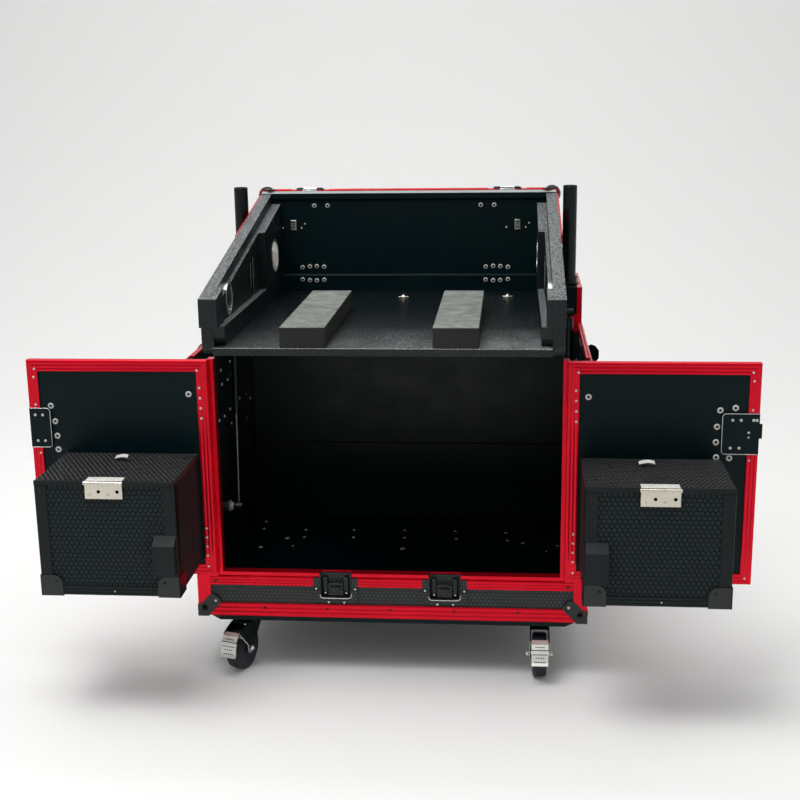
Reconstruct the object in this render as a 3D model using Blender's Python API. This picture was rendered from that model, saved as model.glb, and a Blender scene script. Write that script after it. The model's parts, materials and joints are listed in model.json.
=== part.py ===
# Flight case for a mixing desk: a cabinet on castors, two doors that carry storage boxes,
# and a console tray that flips up out of the cabinet.
# Metres, +Z up. X runs across the case, Y from front to back, and the floor is z = 0.
import math

import bmesh
import bpy
from mathutils import Euler, Matrix, Vector

GAP = 0.0003                 # air left between two pieces that touch

# Cabinet
WIDTH = 1.000                # over the extrusions
DEPTH = 0.780
HALF = WIDTH / 2
BOARD_BOTTOM = 0.142         # overall height of the castors
BOARD_THICK = 0.012
BASE = BOARD_BOTTOM + BOARD_THICK
SEAM = 0.835                 # top edge of the side walls and of the doors
SHEET = 0.003                # wall of an extrusion
RAIL = 0.033                 # width of an extrusion's leg
PLY = 0.009                  # panel thickness
SKIN = HALF - SHEET - GAP    # outer face of the side walls
INNER = SKIN - PLY           # inner face of the side walls
SILL = BASE + 0.120          # lower edge of the opening
OPENING = HALF - 0.068       # half width of the opening
FRAME_WIDE = 0.035           # face of the opening's frame
BACK_STEP = BASE + 0.252     # top of the doubled lower back wall

# Towers and posts at the rear corners
TOWER_FRONT = DEPTH - 0.270
TOWER_IN = HALF - 0.057
TOWER_TOP = SEAM + 0.096
POST_X = HALF - 0.035
POST_Y = TOWER_FRONT + 0.075
POST_R = 0.0195
POST_TOP = 1.207
COLLAR_R = 0.0245
COLLAR_TALL = 0.024

# Console tray, tipped about TRAY_PIVOT
TRAY_PIVOT = (TOWER_FRONT + 0.020, SEAM + 0.050)     # y, z
PIN_R = 0.008
TRAY_OUT = TOWER_IN - 0.011  # outer face of the cheeks
TRAY_FLOOR = SEAM + 0.054    # top of the floor
TRAY_THICK = 0.019
TRAY_FRONT = -0.120
TRAY_BACK = DEPTH - 0.064    # inner face of the rear panel
TRAY_REAR = TRAY_BACK + 0.0415                       # outer face of the rear panel
CHEEK = 0.030
CHEEK_BOTTOM = TRAY_FLOOR - 0.021
BLOCK_BOTTOM = TRAY_FLOOR + 0.048                    # underside of a cheek's front block
BLOCK_DEEP = 0.075
BLOCK_WIDE = 0.044
LINER_IN = TRAY_OUT - 0.039  # inner face of the cheeks' thinner part
LEDGE_IN = TRAY_OUT - 0.056  # inner face of their ledge and rear part
LEDGE_TOP = TRAY_FLOOR + 0.048
LEDGE_REAR = TRAY_BACK - 0.261                       # where the rear part begins
RIM_TALL = 0.028             # height of the rim over the cheeks' inner faces
SHELL_HALF = TRAY_OUT + SHEET
SHELL_TOP = TRAY_FLOOR + 0.297
SIDE_STRIP = 0.366            # length of the red strips down the cheeks' edges
RIM_FRONT = TRAY_FLOOR + 0.116
RIM_REAR = SHELL_TOP - 0.011
PANEL_STEP = TRAY_FLOOR + 0.049                      # where the rear panel steps back
OVAL = (TRAY_BACK - 0.116, TRAY_FLOOR + 0.121)       # middle of a cheek's cable port
OVAL_R = 0.048
HAND_HOLE = (TRAY_FRONT + 0.165, TRAY_FLOOR + 0.092)
HAND_R = 0.032
HAND_SQUASH = 1.2
OVAL_SQUASH = 0.92
SLOT_Y = (TRAY_BACK - 0.091, TRAY_BACK - 0.061)      # small port above the oval one
SLOT_Z = (SHELL_TOP - 0.098, SHELL_TOP - 0.074)
FOAM_MIDDLES = {-1: -0.187, 1: 0.176}
FOAM_WIDE = 0.109
FOAM_TALL = 0.050
FOAM_LONG = 0.535             # length of a foam strip
FOAM_Y = (TRAY_FRONT + 0.003, TRAY_FRONT + 0.003 + FOAM_LONG)

# Doors, folded right back at rest
HINGE_X = HALF - 0.050
HINGE_Y = -0.0125
DOOR_IN = HINGE_X - 0.007    # hinge edge of an open door
DOOR_WIDE = 2 * HINGE_X - DOOR_IN - 0.0005           # the shut doors meet in the middle
DOOR_OUT = DOOR_IN + DOOR_WIDE
DOOR_FRONT = -0.0225         # inside face of an open door
DOOR_THICK = 0.020
DOOR_BACK = DOOR_FRONT + DOOR_THICK
DOOR_BOTTOM = SILL + 0.002
DOOR_RAIL = 0.027
HINGE_LEAF = 0.030           # half height of a door hinge
HINGE_REACH = 0.0162         # how far the fixed leaf reaches from the hinge line
HINGE_HEIGHTS = (DOOR_BOTTOM + 0.085, (DOOR_BOTTOM + SEAM) / 2, SEAM - 0.085)

# Storage boxes on the doors
BOX_IN = DOOR_IN + 0.035
BOX_OUT = BOX_IN + 0.333
BOX_BOTTOM = DOOR_BOTTOM + 0.038
BOX_TOP = BOX_BOTTOM + 0.272
BOX_WALL = 0.009
BOX_FRONT = DOOR_FRONT - 0.235
BOX_TRIM = 0.022
BOX_PROUD = 0.0014           # how far the box's extrusions stand out
GUARD_PROUD = 0.0034
GUARD_WIDE = 0.050
GUARD_TALL = 0.048
GUARD_ROUND = 0.022
LID_THICK = 0.012
LEAF_HALF = 0.043            # half width of a lid hinge
LEAF_DROP = 0.028            # how far its leaf hangs down the box
KNUCKLE_R = 0.004
BUFFER_DEEP = 0.0265
BUFFER_WIDE = 0.0520
BUFFER_Z = (BOX_BOTTOM + 0.057, BOX_BOTTOM + 0.153)

# Catches
DISH_X = 0.140               # catches in the sill
DISH_WIDE = 0.112
DISH_TALL = 0.066
DISH_DEEP = 0.009
BOSS_R = 0.010
SIDE_LATCH_Y = 0.250
SIDE_DISH_Z = SEAM - SHEET - GAP - DISH_TALL / 2
SHELL_LATCH_X = HALF - 0.210
SHELL_LATCH_Z = SHELL_TOP - 0.064
SHELL_DISH_PROUD = 0.0035
FOOT_LATCH_X = 2 * HINGE_X - DISH_X                  # meets the sill catch when the door is shut
FOOT_LATCH_Z = DOOR_BOTTOM + 0.040
FOOT_DISH_TALL = 0.073
WING_WIDE = 0.052
WING_TALL = 0.036
WING_SHEET = 0.003
HUB_R = 0.009
LATCH_SEAT = 0.0045          # depth of a latch's boss under the door's face
LOCK_Z = BOX_TOP + 0.077
LOCK_HALF = 0.0505           # half height of the lock plates
LOCK_WIDE = {-1: 0.0530, 1: 0.0880}
LOCK_ROUND = 0.009           # corner radius of the lock plates
LOCK_PROUD = 0.0045
LOCK_X = DOOR_OUT - 0.052
FLANGE_HALF = 0.057          # half widths of the sill catches' parts
WELL_HALF = 0.0405
POCKET_HALF = 0.0375
KEEPER_HALF = 0.019
POCKET_DEEP = 0.016
POCKET_Z = SILL - 0.0645

# Castors
CASTOR_X = HALF - 0.117
CASTOR_Y = 0.062
WHEEL_R = 0.056
WHEEL_WIDE = 0.036
TRAIL = 0.040
AXLE_R = 0.006
RACE_R = 0.030
RACE_TALL = 0.014
FORK_IN = 0.0215
FORK_SHEET = 0.003
PEDAL_Y = -0.084
PEDAL_Z = 0.108
LEFT_TURN = math.radians(-18)

# Gas springs between the walls and the tray
SPRING_X = HALF - 0.038
SPRING_FOOT = (TOWER_FRONT - 0.150, BASE + 0.176)
SPRING_HEAD = (TRAY_PIVOT[0] - 0.135, TRAY_PIVOT[1] - 0.001)
ROD_R = 0.005
TUBE_R = 0.010
TUBE_LONG = 0.285
EYE_R = 0.011

BALL_OUT = 0.004             # how far a ball corner of the cabinet stands proud
SHELL_BALL_OUT = 0.010       # and one of the tray
BALL_TURN = Euler((0.20, 0.31, 0.43))                # keeps a ball's edges off the ears' edges

# The front plane lies so that the whole object is centred over the origin.
FRONT_REACH = -BOX_FRONT + BUFFER_DEEP
REAR_REACH = DEPTH + BALL_OUT
FRONT_Y = (FRONT_REACH - REAR_REACH) / 2

MATERIALS = {
    "red_anodised": ((0.45, 0.006, 0.012), 0.32, 1.0),
    "black_laminate": ((0.012, 0.013, 0.014), 0.45, 0.0),
    "black_plastic": ((0.015, 0.016, 0.018), 0.40, 0.0),
    "black_steel": ((0.012, 0.012, 0.013), 0.38, 0.6),
    "grained_trim": ((0.030, 0.032, 0.033), 0.55, 0.0),
    "grey_foam": ((0.110, 0.115, 0.115), 0.95, 0.0),
    "black_rubber": ((0.018, 0.019, 0.021), 0.75, 0.0),
    "zinc_steel": ((0.620, 0.620, 0.600), 0.28, 1.0),
}


def clear_scene():
    for obj in list(bpy.data.objects):
        bpy.data.objects.remove(obj, do_unlink=True)


def new_collection(name):
    collection = bpy.data.collections.new(name)
    bpy.context.scene.collection.children.link(collection)
    return collection


def new_material(name):
    colour, roughness, metallic = MATERIALS[name]
    material = bpy.data.materials.new(name)
    material.use_nodes = True
    shader = material.node_tree.nodes["Principled BSDF"]
    shader.inputs["Base Color"].default_value = (*colour, 1.0)
    shader.inputs["Roughness"].default_value = roughness
    shader.inputs["Metallic"].default_value = metallic
    material.diffuse_color = (*colour, 1.0)
    return material


clear_scene()
PARTS = new_collection("mixer_flight_case")
CUTTERS = new_collection("cutters")
LOOKS = {name: new_material(name) for name in MATERIALS}


def finish_mesh(name, bm, look, origin=(0.0, 0.0, 0.0), turn=0.0, smooth=False):
    """Make an object of bm, whose points are measured from the middle of the cabinet's front."""
    bmesh.ops.remove_doubles(bm, verts=bm.verts, dist=0.00001)
    bmesh.ops.recalc_face_normals(bm, faces=bm.faces)
    origin = Vector(origin)
    bmesh.ops.translate(bm, verts=bm.verts, vec=-origin)
    mesh = bpy.data.meshes.new(name)
    bm.to_mesh(mesh)
    bm.free()
    obj = bpy.data.objects.new(name, mesh)
    obj.location = origin + Vector((0.0, FRONT_Y, 0.0))
    obj.rotation_euler.z = turn
    if look is None:
        CUTTERS.objects.link(obj)
        obj.hide_render = True
        obj.display_type = "WIRE"
    else:
        PARTS.objects.link(obj)
        mesh.materials.append(LOOKS[look])
    if smooth:
        mesh.shade_smooth()
        mesh.set_sharp_from_angle(angle=math.radians(35))
    return obj


def combine(target, others, operation):
    for other in others:
        modifier = target.modifiers.new(operation.lower(), "BOOLEAN")
        modifier.operation = operation
        modifier.solver = "EXACT"
        modifier.object = other
    return target


def add(target, *others):
    return combine(target, others, "UNION")


def cut(target, *others):
    return combine(target, others, "DIFFERENCE")


def ordered(side, low, high):
    """A span on the right side of the case, or its mirror image on the left."""
    return tuple(sorted((side * low, side * high)))


def block(name, x, y, z, look=None, origin=(0.0, 0.0, 0.0)):
    bm = bmesh.new()
    bmesh.ops.create_cube(bm, size=1.0)
    size = Vector((x[1] - x[0], y[1] - y[0], z[1] - z[0]))
    middle = Vector((x[1] + x[0], y[1] + y[0], z[1] + z[0])) / 2
    bmesh.ops.scale(bm, verts=bm.verts, vec=size)
    bmesh.ops.translate(bm, verts=bm.verts, vec=middle)
    return finish_mesh(name, bm, look, origin)


def slab(name, outline, axis, span, look=None, origin=(0.0, 0.0, 0.0), smooth=False):
    """Extrude an outline along an axis. Its points lie in the other two axes, in order."""
    bm = bmesh.new()
    corners = []
    for a, b in outline:
        point = [a, b]
        point.insert("XYZ".index(axis), span[0])
        corners.append(bm.verts.new(point))
    face = bm.faces.new(corners)
    grown = bmesh.ops.extrude_face_region(bm, geom=[face])
    moved = [item for item in grown["geom"] if isinstance(item, bmesh.types.BMVert)]
    step = [0.0, 0.0, 0.0]
    step["XYZ".index(axis)] = span[1] - span[0]
    bmesh.ops.translate(bm, verts=moved, vec=step)
    return finish_mesh(name, bm, look, origin, smooth=smooth)


def arc(centre, radius, start, end, count=4):
    """Points on an arc, with the angles in quarter turns."""
    points = []
    for k in range(count + 1):
        angle = math.pi / 2 * (start + (end - start) * k / count)
        points.append((centre[0] + radius * math.cos(angle), centre[1] + radius * math.sin(angle)))
    return points


def circle(centre, radius, count, squash=1.0):
    points = []
    for k in range(count):
        angle = 2 * math.pi * (k + 0.5) / count
        points.append((centre[0] + radius * math.cos(angle),
                       centre[1] + squash * radius * math.sin(angle)))
    return points


def rod(name, centre, radius, axis, span, count=16, look=None, origin=(0.0, 0.0, 0.0)):
    return slab(name, circle(centre, radius, count), axis, span, look, origin, look is not None)


def sweep(name, section, stations, look=None, closed=False, origin=(0.0, 0.0, 0.0)):
    """Carry a section of (u, v) points through stations of (corner, u direction, v direction)."""
    bm = bmesh.new()
    rings = []
    for corner, along_u, along_v in stations:
        corner, along_u, along_v = Vector(corner), Vector(along_u), Vector(along_v)
        rings.append([bm.verts.new(corner + u * along_u + v * along_v) for u, v in section])
    pairs = list(zip(rings, rings[1:]))
    if closed:
        pairs.append((rings[-1], rings[0]))
    count = len(section)
    for near, far in pairs:
        for k in range(count):
            bm.faces.new((near[k], near[(k + 1) % count], far[(k + 1) % count], far[k]))
    if not closed:
        bm.faces.new(rings[0])
        bm.faces.new(rings[-1])
    return finish_mesh(name, bm, look, origin)


def turned(name, profile, steps, look, centre, axis="X", origin=None, turn=0.0):
    """Spin a closed profile of (radius, height along the axis) points about an axis."""
    bm = bmesh.new()
    points = [bm.verts.new((radius, 0.0, height)) for radius, height in profile]
    edges = [bm.edges.new((points[k - 1], points[k])) for k in range(len(points))]
    bmesh.ops.spin(bm, geom=points + edges, cent=(0, 0, 0), axis=(0, 0, 1),
                   angle=2 * math.pi, steps=steps, use_merge=True)
    if axis == "X":
        bmesh.ops.rotate(bm, verts=bm.verts, cent=(0, 0, 0),
                         matrix=Matrix.Rotation(math.pi / 2, 3, "Y"))
    bmesh.ops.translate(bm, verts=bm.verts, vec=centre)
    return finish_mesh(name, bm, look, origin or centre, turn, smooth=True)


def ell(leg_u, leg_v, thick):
    """An angle section with its outer corner at (0, 0)."""
    return [(0, 0), (leg_u, 0), (leg_u, thick), (thick, thick), (thick, leg_v), (0, leg_v)]


# Cabinet

def chamfered(half_x, y, corner):
    return [(-half_x + corner, y[0]), (half_x - corner, y[0]), (half_x, y[0] + corner),
            (half_x, y[1] - corner), (half_x - corner, y[1]), (-half_x + corner, y[1]),
            (-half_x, y[1] - corner), (-half_x, y[0] + corner)]


def castor_places():
    return {
        "front_left": (-CASTOR_X, CASTOR_Y, LEFT_TURN),
        "front_right": (CASTOR_X, CASTOR_Y, 0.0),
        "rear_left": (-CASTOR_X, DEPTH - CASTOR_Y, 0.0),
        "rear_right": (CASTOR_X, DEPTH - CASTOR_Y, 0.0),
    }


def make_castor_board():
    """The plywood board under the case, with the floor panel and the castors' top plates."""
    corner_cut = 0.054
    board = slab("castor_board", chamfered(HALF - GAP, (GAP, DEPTH - GAP), corner_cut),
                 "Z", (BOARD_BOTTOM, BASE - GAP), "black_laminate")
    inset = RAIL + GAP
    core = block("floor_core", (-HALF + inset, HALF - inset), (inset, DEPTH - inset),
                 (BASE - 0.002, BASE + SHEET + PLY))
    floor = block("floor_sheet", (-INNER + GAP, INNER - GAP), (0.0126, DEPTH - 0.026),
                  (BASE + SHEET + GAP, BASE + SHEET + PLY))
    add(board, core, floor)
    for name, (x, y, _) in castor_places().items():
        plate = block("plate_" + name, (x - 0.050, x + 0.050), (y - 0.042, y + 0.042),
                      (BOARD_BOTTOM - SHEET, BOARD_BOTTOM + 0.002))
        race = rod("race_" + name, (x, y), RACE_R, "Z",
                   (BOARD_BOTTOM - RACE_TALL, BOARD_BOTTOM - 0.001))
        add(board, plate, race)
    return board


def make_base_frame():
    """Ring of extrusion round the bottom, with the four upright corner extrusions."""
    corners = [(-1, 0), (1, 0), (1, 1), (-1, 1)]
    stations = []
    for side, back in corners:
        corner = (side * HALF, back * DEPTH, BASE)
        stations.append((corner, (-side, 1 - 2 * back, 0), (0, 0, 1)))
    ring = sweep("base_frame", ell(RAIL, RAIL + 0.002, SHEET), stations, "red_anodised", True)
    for index, (side, back) in enumerate(corners):
        inward_y = 1 - 2 * back
        low, high = BASE + 0.010, SEAM - (RAIL + GAP) * back
        leg = [(side * HALF, back * DEPTH),
               (side * (HALF - RAIL), back * DEPTH),
               (side * (HALF - RAIL), back * DEPTH + inward_y * SHEET),
               (side * (HALF - SHEET), back * DEPTH + inward_y * SHEET),
               (side * (HALF - SHEET), back * DEPTH + inward_y * RAIL),
               (side * HALF, back * DEPTH + inward_y * RAIL)]
        add(ring, slab("upright_%d" % index, leg, "Z", (low, high)))
    return ring


def make_opening_frame():
    """Jambs and sill round the door opening, with the proud lip that the doors close on."""
    lip, groove = 0.009, 0.012
    section = [(0, 0.030), (0, 0.003), (lip, 0.003), (lip, 0.006), (groove, 0.006), (groove, 0),
               (FRAME_WIDE, 0), (FRAME_WIDE, SHEET), (0.015, SHEET), (0.015, 0.030)]
    stations = [
        ((-OPENING, 0, SEAM), (-1, 0, 0), (0, 1, 0)),
        ((-OPENING, 0, SILL), (-1, 0, -1), (0, 1, 0)),
        ((OPENING, 0, SILL), (1, 0, -1), (0, 1, 0)),
        ((OPENING, 0, SEAM), (1, 0, 0), (0, 1, 0)),
    ]
    frame = sweep("opening_frame", section, stations, "red_anodised")
    for side in (-1, 1):
        middle = side * DISH_X
        notch = block("sill_notch_%d" % side, (middle - WELL_HALF - 0.0005, middle + WELL_HALF + 0.0005),
                      (-0.01, 0.0245), (SILL - 0.030, SILL + 0.01))
        reach = FLANGE_HALF + GAP
        step = block("flange_notch_%d" % side, (middle - reach, middle + reach), (-0.01, 0.0046),
                     (SILL - 0.05, SILL - 0.0115))
        cut(frame, notch, step)
        for index, z in enumerate(HINGE_HEIGHTS):
            low = DOOR_FRONT + DOOR_THICK + GAP
            leaf = block("fixed_leaf_%d_%d" % (side, index),
                         ordered(side, HINGE_X + 0.008, HINGE_X + HINGE_REACH),
                         (low, 0.001), (z - HINGE_LEAF, z + HINGE_LEAF))
            add(frame, leaf)
    return frame


def make_front_panel():
    """Laminate band under the doors, with the two recessed catch plates for their latches."""
    deep = SHEET + GAP
    panel = block("front_panel", (-INNER + GAP, INNER - GAP), (deep, deep + PLY),
                  (BASE + SHEET + GAP, SILL - 0.0155), "black_laminate")
    for side in (-1, 1):
        middle = side * DISH_X
        flange = block("dish_flange_%d" % side, (middle - FLANGE_HALF, middle + FLANGE_HALF),
                       (-0.001, deep + 0.001), (SILL - 0.078, SILL - 0.012))
        well = block("dish_well_%d" % side, (middle - WELL_HALF, middle + WELL_HALF),
                     (-0.001, POCKET_DEEP + 0.008), (POCKET_Z - 0.0035, SILL - 0.004))
        pocket = block("dish_pocket_%d" % side, (middle - POCKET_HALF, middle + POCKET_HALF),
                       (-0.01, POCKET_DEEP), (POCKET_Z, SILL + 0.01))
        keeper = block("dish_keeper_%d" % side, (middle - KEEPER_HALF, middle + KEEPER_HALF),
                       (0.004, POCKET_DEEP + 0.002), (SILL - 0.060, SILL - 0.028))
        slot = block("dish_slot_%d" % side, (middle - KEEPER_HALF + 0.005, middle + KEEPER_HALF - 0.005),
                     (0.0, 0.009), (SILL - 0.038, SILL - 0.033))
        add(panel, flange, well)
        cut(panel, pocket)
        add(panel, keeper)
        cut(panel, slot)
    return panel


def latch_recess(name, centre, facing):
    """Pocket for a twist latch: x, y, z of its middle and the axis that it faces along."""
    wide, tall, deep = DISH_WIDE / 2 - 0.006, 0.026, DISH_DEEP
    x, y, z = centre
    if facing == "X":
        return block(name, (x - deep, x + deep), (y - wide, y + wide), (z - tall, z + tall))
    return block(name, (x - wide, x + wide), (y - deep, y + deep), (z - tall, z + tall))


def make_side_wall(side, word):
    wall = block("side_wall_" + word, ordered(side, INNER, SKIN), (SHEET + GAP, DEPTH - SHEET - GAP),
                 (BASE + SHEET + GAP, SEAM - SHEET - GAP), "black_laminate")
    dish_z = SIDE_DISH_Z
    dish = block("side_dish_" + word, ordered(side, INNER - 0.006, HALF + 0.001),
                 (SIDE_LATCH_Y - DISH_WIDE / 2, SIDE_LATCH_Y + DISH_WIDE / 2),
                 (dish_z - DISH_TALL / 2, dish_z + DISH_TALL / 2))
    recess = latch_recess("side_recess_" + word, (side * HALF, SIDE_LATCH_Y, dish_z), "X")
    foot_pin = rod("spring_pin_" + word, SPRING_FOOT, 0.007, "X",
                   ordered(side, SPRING_X + 0.0098, SKIN - 0.002))
    add(wall, dish, foot_pin)
    cut(wall, recess)
    add(wall, rod("side_boss_" + word, (SIDE_LATCH_Y, dish_z), BOSS_R, "X",
                  ordered(side, HALF - 0.011, HALF - 0.004)))
    return wall


def make_back_wall():
    """Back panel, doubled low down, with the batten that closes the gap under the tray."""
    inner = DEPTH - SHEET - GAP - PLY
    wall = block("back_wall", (-INNER + GAP, INNER - GAP), (inner, DEPTH - SHEET - GAP),
                 (BASE + SHEET + GAP, SEAM - SHEET - GAP), "black_laminate")
    double = block("back_double", (-INNER + GAP, INNER - GAP), (inner - 0.012, inner + 0.001),
                   (BASE + SHEET + PLY + GAP, BACK_STEP))
    foot = inner - 0.026
    seat = DEPTH - 0.0145
    batten = slab("back_batten", [(foot, SEAM - 0.035), (inner + 0.001, SEAM - 0.035),
                                  (inner + 0.001, SEAM - SHEET - 0.0005),
                                  (seat, SEAM - SHEET - 0.0005), (seat, CHEEK_BOTTOM - 0.0015),
                                  (foot, CHEEK_BOTTOM - 0.0015)],
                  "X", (-TOWER_IN + GAP, TOWER_IN - GAP))
    return add(wall, double, batten)


def make_top_frame():
    """Extrusion along the tops of the side and back walls, and the trim of the towers."""
    front = RAIL + GAP
    section = [(0, 0), (0, RAIL), (SHEET, RAIL), (SHEET, SHEET), (0.014, SHEET), (0.014, 0)]
    stations = [
        ((-HALF, front, SEAM), (1, 0, 0), (0, 0, -1)),
        ((-HALF, DEPTH, SEAM), (1, -1, 0), (0, 0, -1)),
        ((HALF, DEPTH, SEAM), (-1, -1, 0), (0, 0, -1)),
        ((HALF, front, SEAM), (-1, 0, 0), (0, 0, -1)),
    ]
    frame = sweep("top_frame", section, stations, "red_anodised")
    lap = 0.002
    for side in (-1, 1):
        trim = block("tower_trim_%d" % side, ordered(side, HALF - 0.0142, HALF - 0.0002),
                     (TOWER_FRONT - lap, DEPTH - 0.0002), (SEAM - 0.001, TOWER_TOP + lap))
        core = block("trim_core_%d" % side, ordered(side, HALF - 0.05, HALF - SHEET),
                     (TOWER_FRONT + lap, DEPTH + 0.01), (SEAM - 0.01, TOWER_TOP))
        window = block("trim_window_%d" % side, ordered(side, HALF - 0.05, HALF + 0.01),
                       (TOWER_FRONT + 0.014, DEPTH + 0.01), (SEAM + 0.021, TOWER_TOP - 0.014))
        cut(trim, core, window)
        stub = block("trim_stub_%d" % side, ordered(side, TOWER_IN + 0.007, INNER - GAP),
                     (TOWER_FRONT - 0.0015, TOWER_FRONT + 0.0018), (SEAM - 0.028, SEAM + 0.0206))
        shelf = block("trim_shelf_%d" % side, ordered(side, TOWER_IN + 0.008, HALF - 0.001),
                      (TOWER_FRONT, DEPTH - 0.020), (SEAM - 0.0028, SEAM - 0.0002))
        groove = block("trim_groove_%d" % side, ordered(side, TOWER_IN, HALF + 0.01),
                       (TOWER_FRONT - 0.01, TOWER_FRONT - 0.0008), (SEAM - 0.0012, SEAM + 0.0012))
        notch = block("rail_notch_%d" % side, ordered(side, HALF - 0.030, HALF + 0.01),
                      (SIDE_LATCH_Y - DISH_WIDE / 2 - GAP, SIDE_LATCH_Y + DISH_WIDE / 2 + GAP),
                      (SEAM - 0.05, SEAM - SHEET))
        seat = rod("post_seat_%d" % side, (side * POST_X, POST_Y), COLLAR_R + 0.005, "Z",
                   (TOWER_TOP - 0.0001, TOWER_TOP + 0.01), 28)
        add(frame, trim, stub, shelf)
        cut(frame, groove, notch, seat)
    return frame


def make_tower(side, word):
    """Block beside the tray's rear corner. It carries a post, and the tray's pivot pin."""
    tower = block("tower_" + word, ordered(side, TOWER_IN, HALF - SHEET - GAP),
                  (TOWER_FRONT + 0.002 + GAP, DEPTH - GAP), (SEAM + GAP, TOWER_TOP - GAP),
                  "black_laminate")
    pin = rod("tray_pin_" + word, TRAY_PIVOT, PIN_R, "X",
              ordered(side, TRAY_OUT - 0.020, TOWER_IN + 0.010))
    washer = rod("tray_washer_" + word, TRAY_PIVOT, 0.016, "X",
                 ordered(side, TRAY_OUT + 0.003, TOWER_IN + 0.001), 20)
    return add(tower, pin, washer)


def make_post(side, word):
    """Tube that stands in a clamp collar on a tower."""
    low = TOWER_TOP
    profile = [(POST_R - 0.002, low), (COLLAR_R + 0.004, low), (COLLAR_R + 0.004, low + 0.005),
               (COLLAR_R, low + 0.007), (COLLAR_R, low + COLLAR_TALL),
               (POST_R, low + COLLAR_TALL), (POST_R, POST_TOP - 0.001),
               (POST_R - 0.001, POST_TOP), (POST_R - 0.002, POST_TOP)]
    return turned("post_" + word, profile, 28, "black_steel",
                  (side * POST_X, POST_Y, 0.0), "Z")


def ball_corner(name, corner, inward, reach, faces, proud):
    """Moulded corner cap: a ball, and a lobed ear on each of the faces that meet there."""
    sunk, thick = 0.016, 0.0022
    radius = sunk + proud
    corner = Vector(corner)
    bm = bmesh.new()
    bmesh.ops.create_uvsphere(bm, u_segments=16, v_segments=10, radius=radius)
    bmesh.ops.rotate(bm, verts=bm.verts, cent=(0, 0, 0), matrix=BALL_TURN.to_matrix())
    bmesh.ops.translate(bm, verts=bm.verts, vec=corner + sunk * Vector(inward))
    ball = finish_mesh(name, bm, "black_plastic", corner, smooth=True)
    edge = -thick
    lobes = [(edge, edge), (0.026, edge), (0.036, 0.011), (0.056, 0.030), (0.060, 0.038),
             (0.057, 0.046), (0.046, 0.057), (0.038, 0.060), (0.030, 0.056), (0.011, 0.036),
             (edge, 0.026)]
    for axis in faces:
        index = "XYZ".index(axis)
        flat = [k for k in range(3) if k != index]
        outline = [(corner[flat[0]] + reach * a * inward[flat[0]],
                    corner[flat[1]] + reach * b * inward[flat[1]]) for a, b in lobes]
        face = corner[index] - inward[index] * GAP
        span = tuple(sorted((face - inward[index] * thick, face + inward[index] * 0.001)))
        add(ball, slab(name + "_ear" + axis, outline, axis, span))
    spans = []
    for k, axis in enumerate("XYZ"):
        start = corner[k] - inward[k] * (GAP if axis in faces else radius * 2)
        spans.append(tuple(sorted((start, start + inward[k] * 0.11))))
    return cut(ball, block(name + "_core", *spans))


# Castors, built round a swivel axis at (x, y) with the wheel trailing to the front

def turn_about(point, centre, turn):
    """Turn a point measured from the swivel axis, and carry it to the castor's place."""
    cos, sin = math.cos(turn), math.sin(turn)
    return (centre[0] + point[0] * cos - point[1] * sin,
            centre[1] + point[0] * sin + point[1] * cos, point[2])


def at_castor(obj, place, local_origin):
    """Move an object that was built round the swivel axis to its castor."""
    x, y, turn = place
    mesh_shift = Matrix.Translation(-Vector(local_origin))
    obj.data.transform(mesh_shift)
    where = Vector(turn_about(local_origin, (x, y), turn))
    obj.location = where + Vector((0.0, FRONT_Y, 0.0))
    obj.rotation_euler.z = turn
    return obj


def built_at_origin(obj):
    obj.location = (0.0, 0.0, 0.0)
    return obj


def make_fork(word, place):
    crown_top = BOARD_BOTTOM - RACE_TALL - GAP
    crown_low = crown_top - FORK_SHEET
    axle = (-TRAIL, WHEEL_R)
    leg = [(0.030, crown_top), (0.030, crown_low - 0.004), (axle[0] + 0.013, axle[1] - 0.004),
           (axle[0] + 0.006, axle[1] - 0.012), (axle[0] - 0.006, axle[1] - 0.012),
           (axle[0] - 0.013, axle[1] - 0.003), (axle[0] - 0.014, axle[1] + 0.014),
           (PEDAL_Y + 0.004, PEDAL_Z - 0.009), (PEDAL_Y - 0.005, PEDAL_Z - 0.006),
           (PEDAL_Y - 0.006, PEDAL_Z + 0.005), (-0.050, crown_top)]
    legs = []
    for side in (-1, 1):
        span = ordered(side, FORK_IN, FORK_IN + FORK_SHEET)
        legs.append(built_at_origin(slab("fork_leg_%s%d" % (word, side), leg, "X", span)))
    outer = FORK_IN + FORK_SHEET
    crown = built_at_origin(slab("fork_" + word, [(-outer, -0.046), (outer, -0.046), (outer, 0.022),
                                                  (0.014, 0.030), (-0.014, 0.030), (-outer, 0.022)],
                                 "Z", (crown_low, crown_top), "black_steel"))
    axle_rod = built_at_origin(rod("axle_" + word, axle, AXLE_R, "X", (-outer - 0.003, outer + 0.003)))
    nuts = []
    for side in (-1, 1):
        span = ordered(side, outer - 0.001, outer + 0.005)
        nuts.append(built_at_origin(rod("nut_%s%d" % (word, side), axle, 0.0095, "X", span, 6)))
    add(crown, *legs, axle_rod, *nuts)
    at_castor(crown, place, (0.0, 0.0, crown_top))
    for helper in legs + nuts + [axle_rod]:
        at_castor(helper, place, (0.0, 0.0, crown_top))
    return crown


def make_wheel(word, place):
    half = WHEEL_WIDE / 2
    bore = AXLE_R + GAP
    profile = [(bore, -0.0205), (0.012, -0.0205), (0.013, -0.011), (0.036, -0.009),
               (0.041, -half + 0.001), (0.050, -half), (WHEEL_R - 0.0015, -half + 0.005),
               (WHEEL_R, -0.009), (WHEEL_R, 0.009), (WHEEL_R - 0.0015, half - 0.005),
               (0.050, half), (0.041, half - 0.001), (0.036, 0.009), (0.013, 0.011),
               (0.012, 0.0205), (bore, 0.0205)]
    x, y, turn = place
    centre = turn_about((0.0, -TRAIL, WHEEL_R), (x, y), turn)
    return turned("wheel_" + word, profile, 32, "black_rubber", centre, "X", centre, turn)


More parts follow.
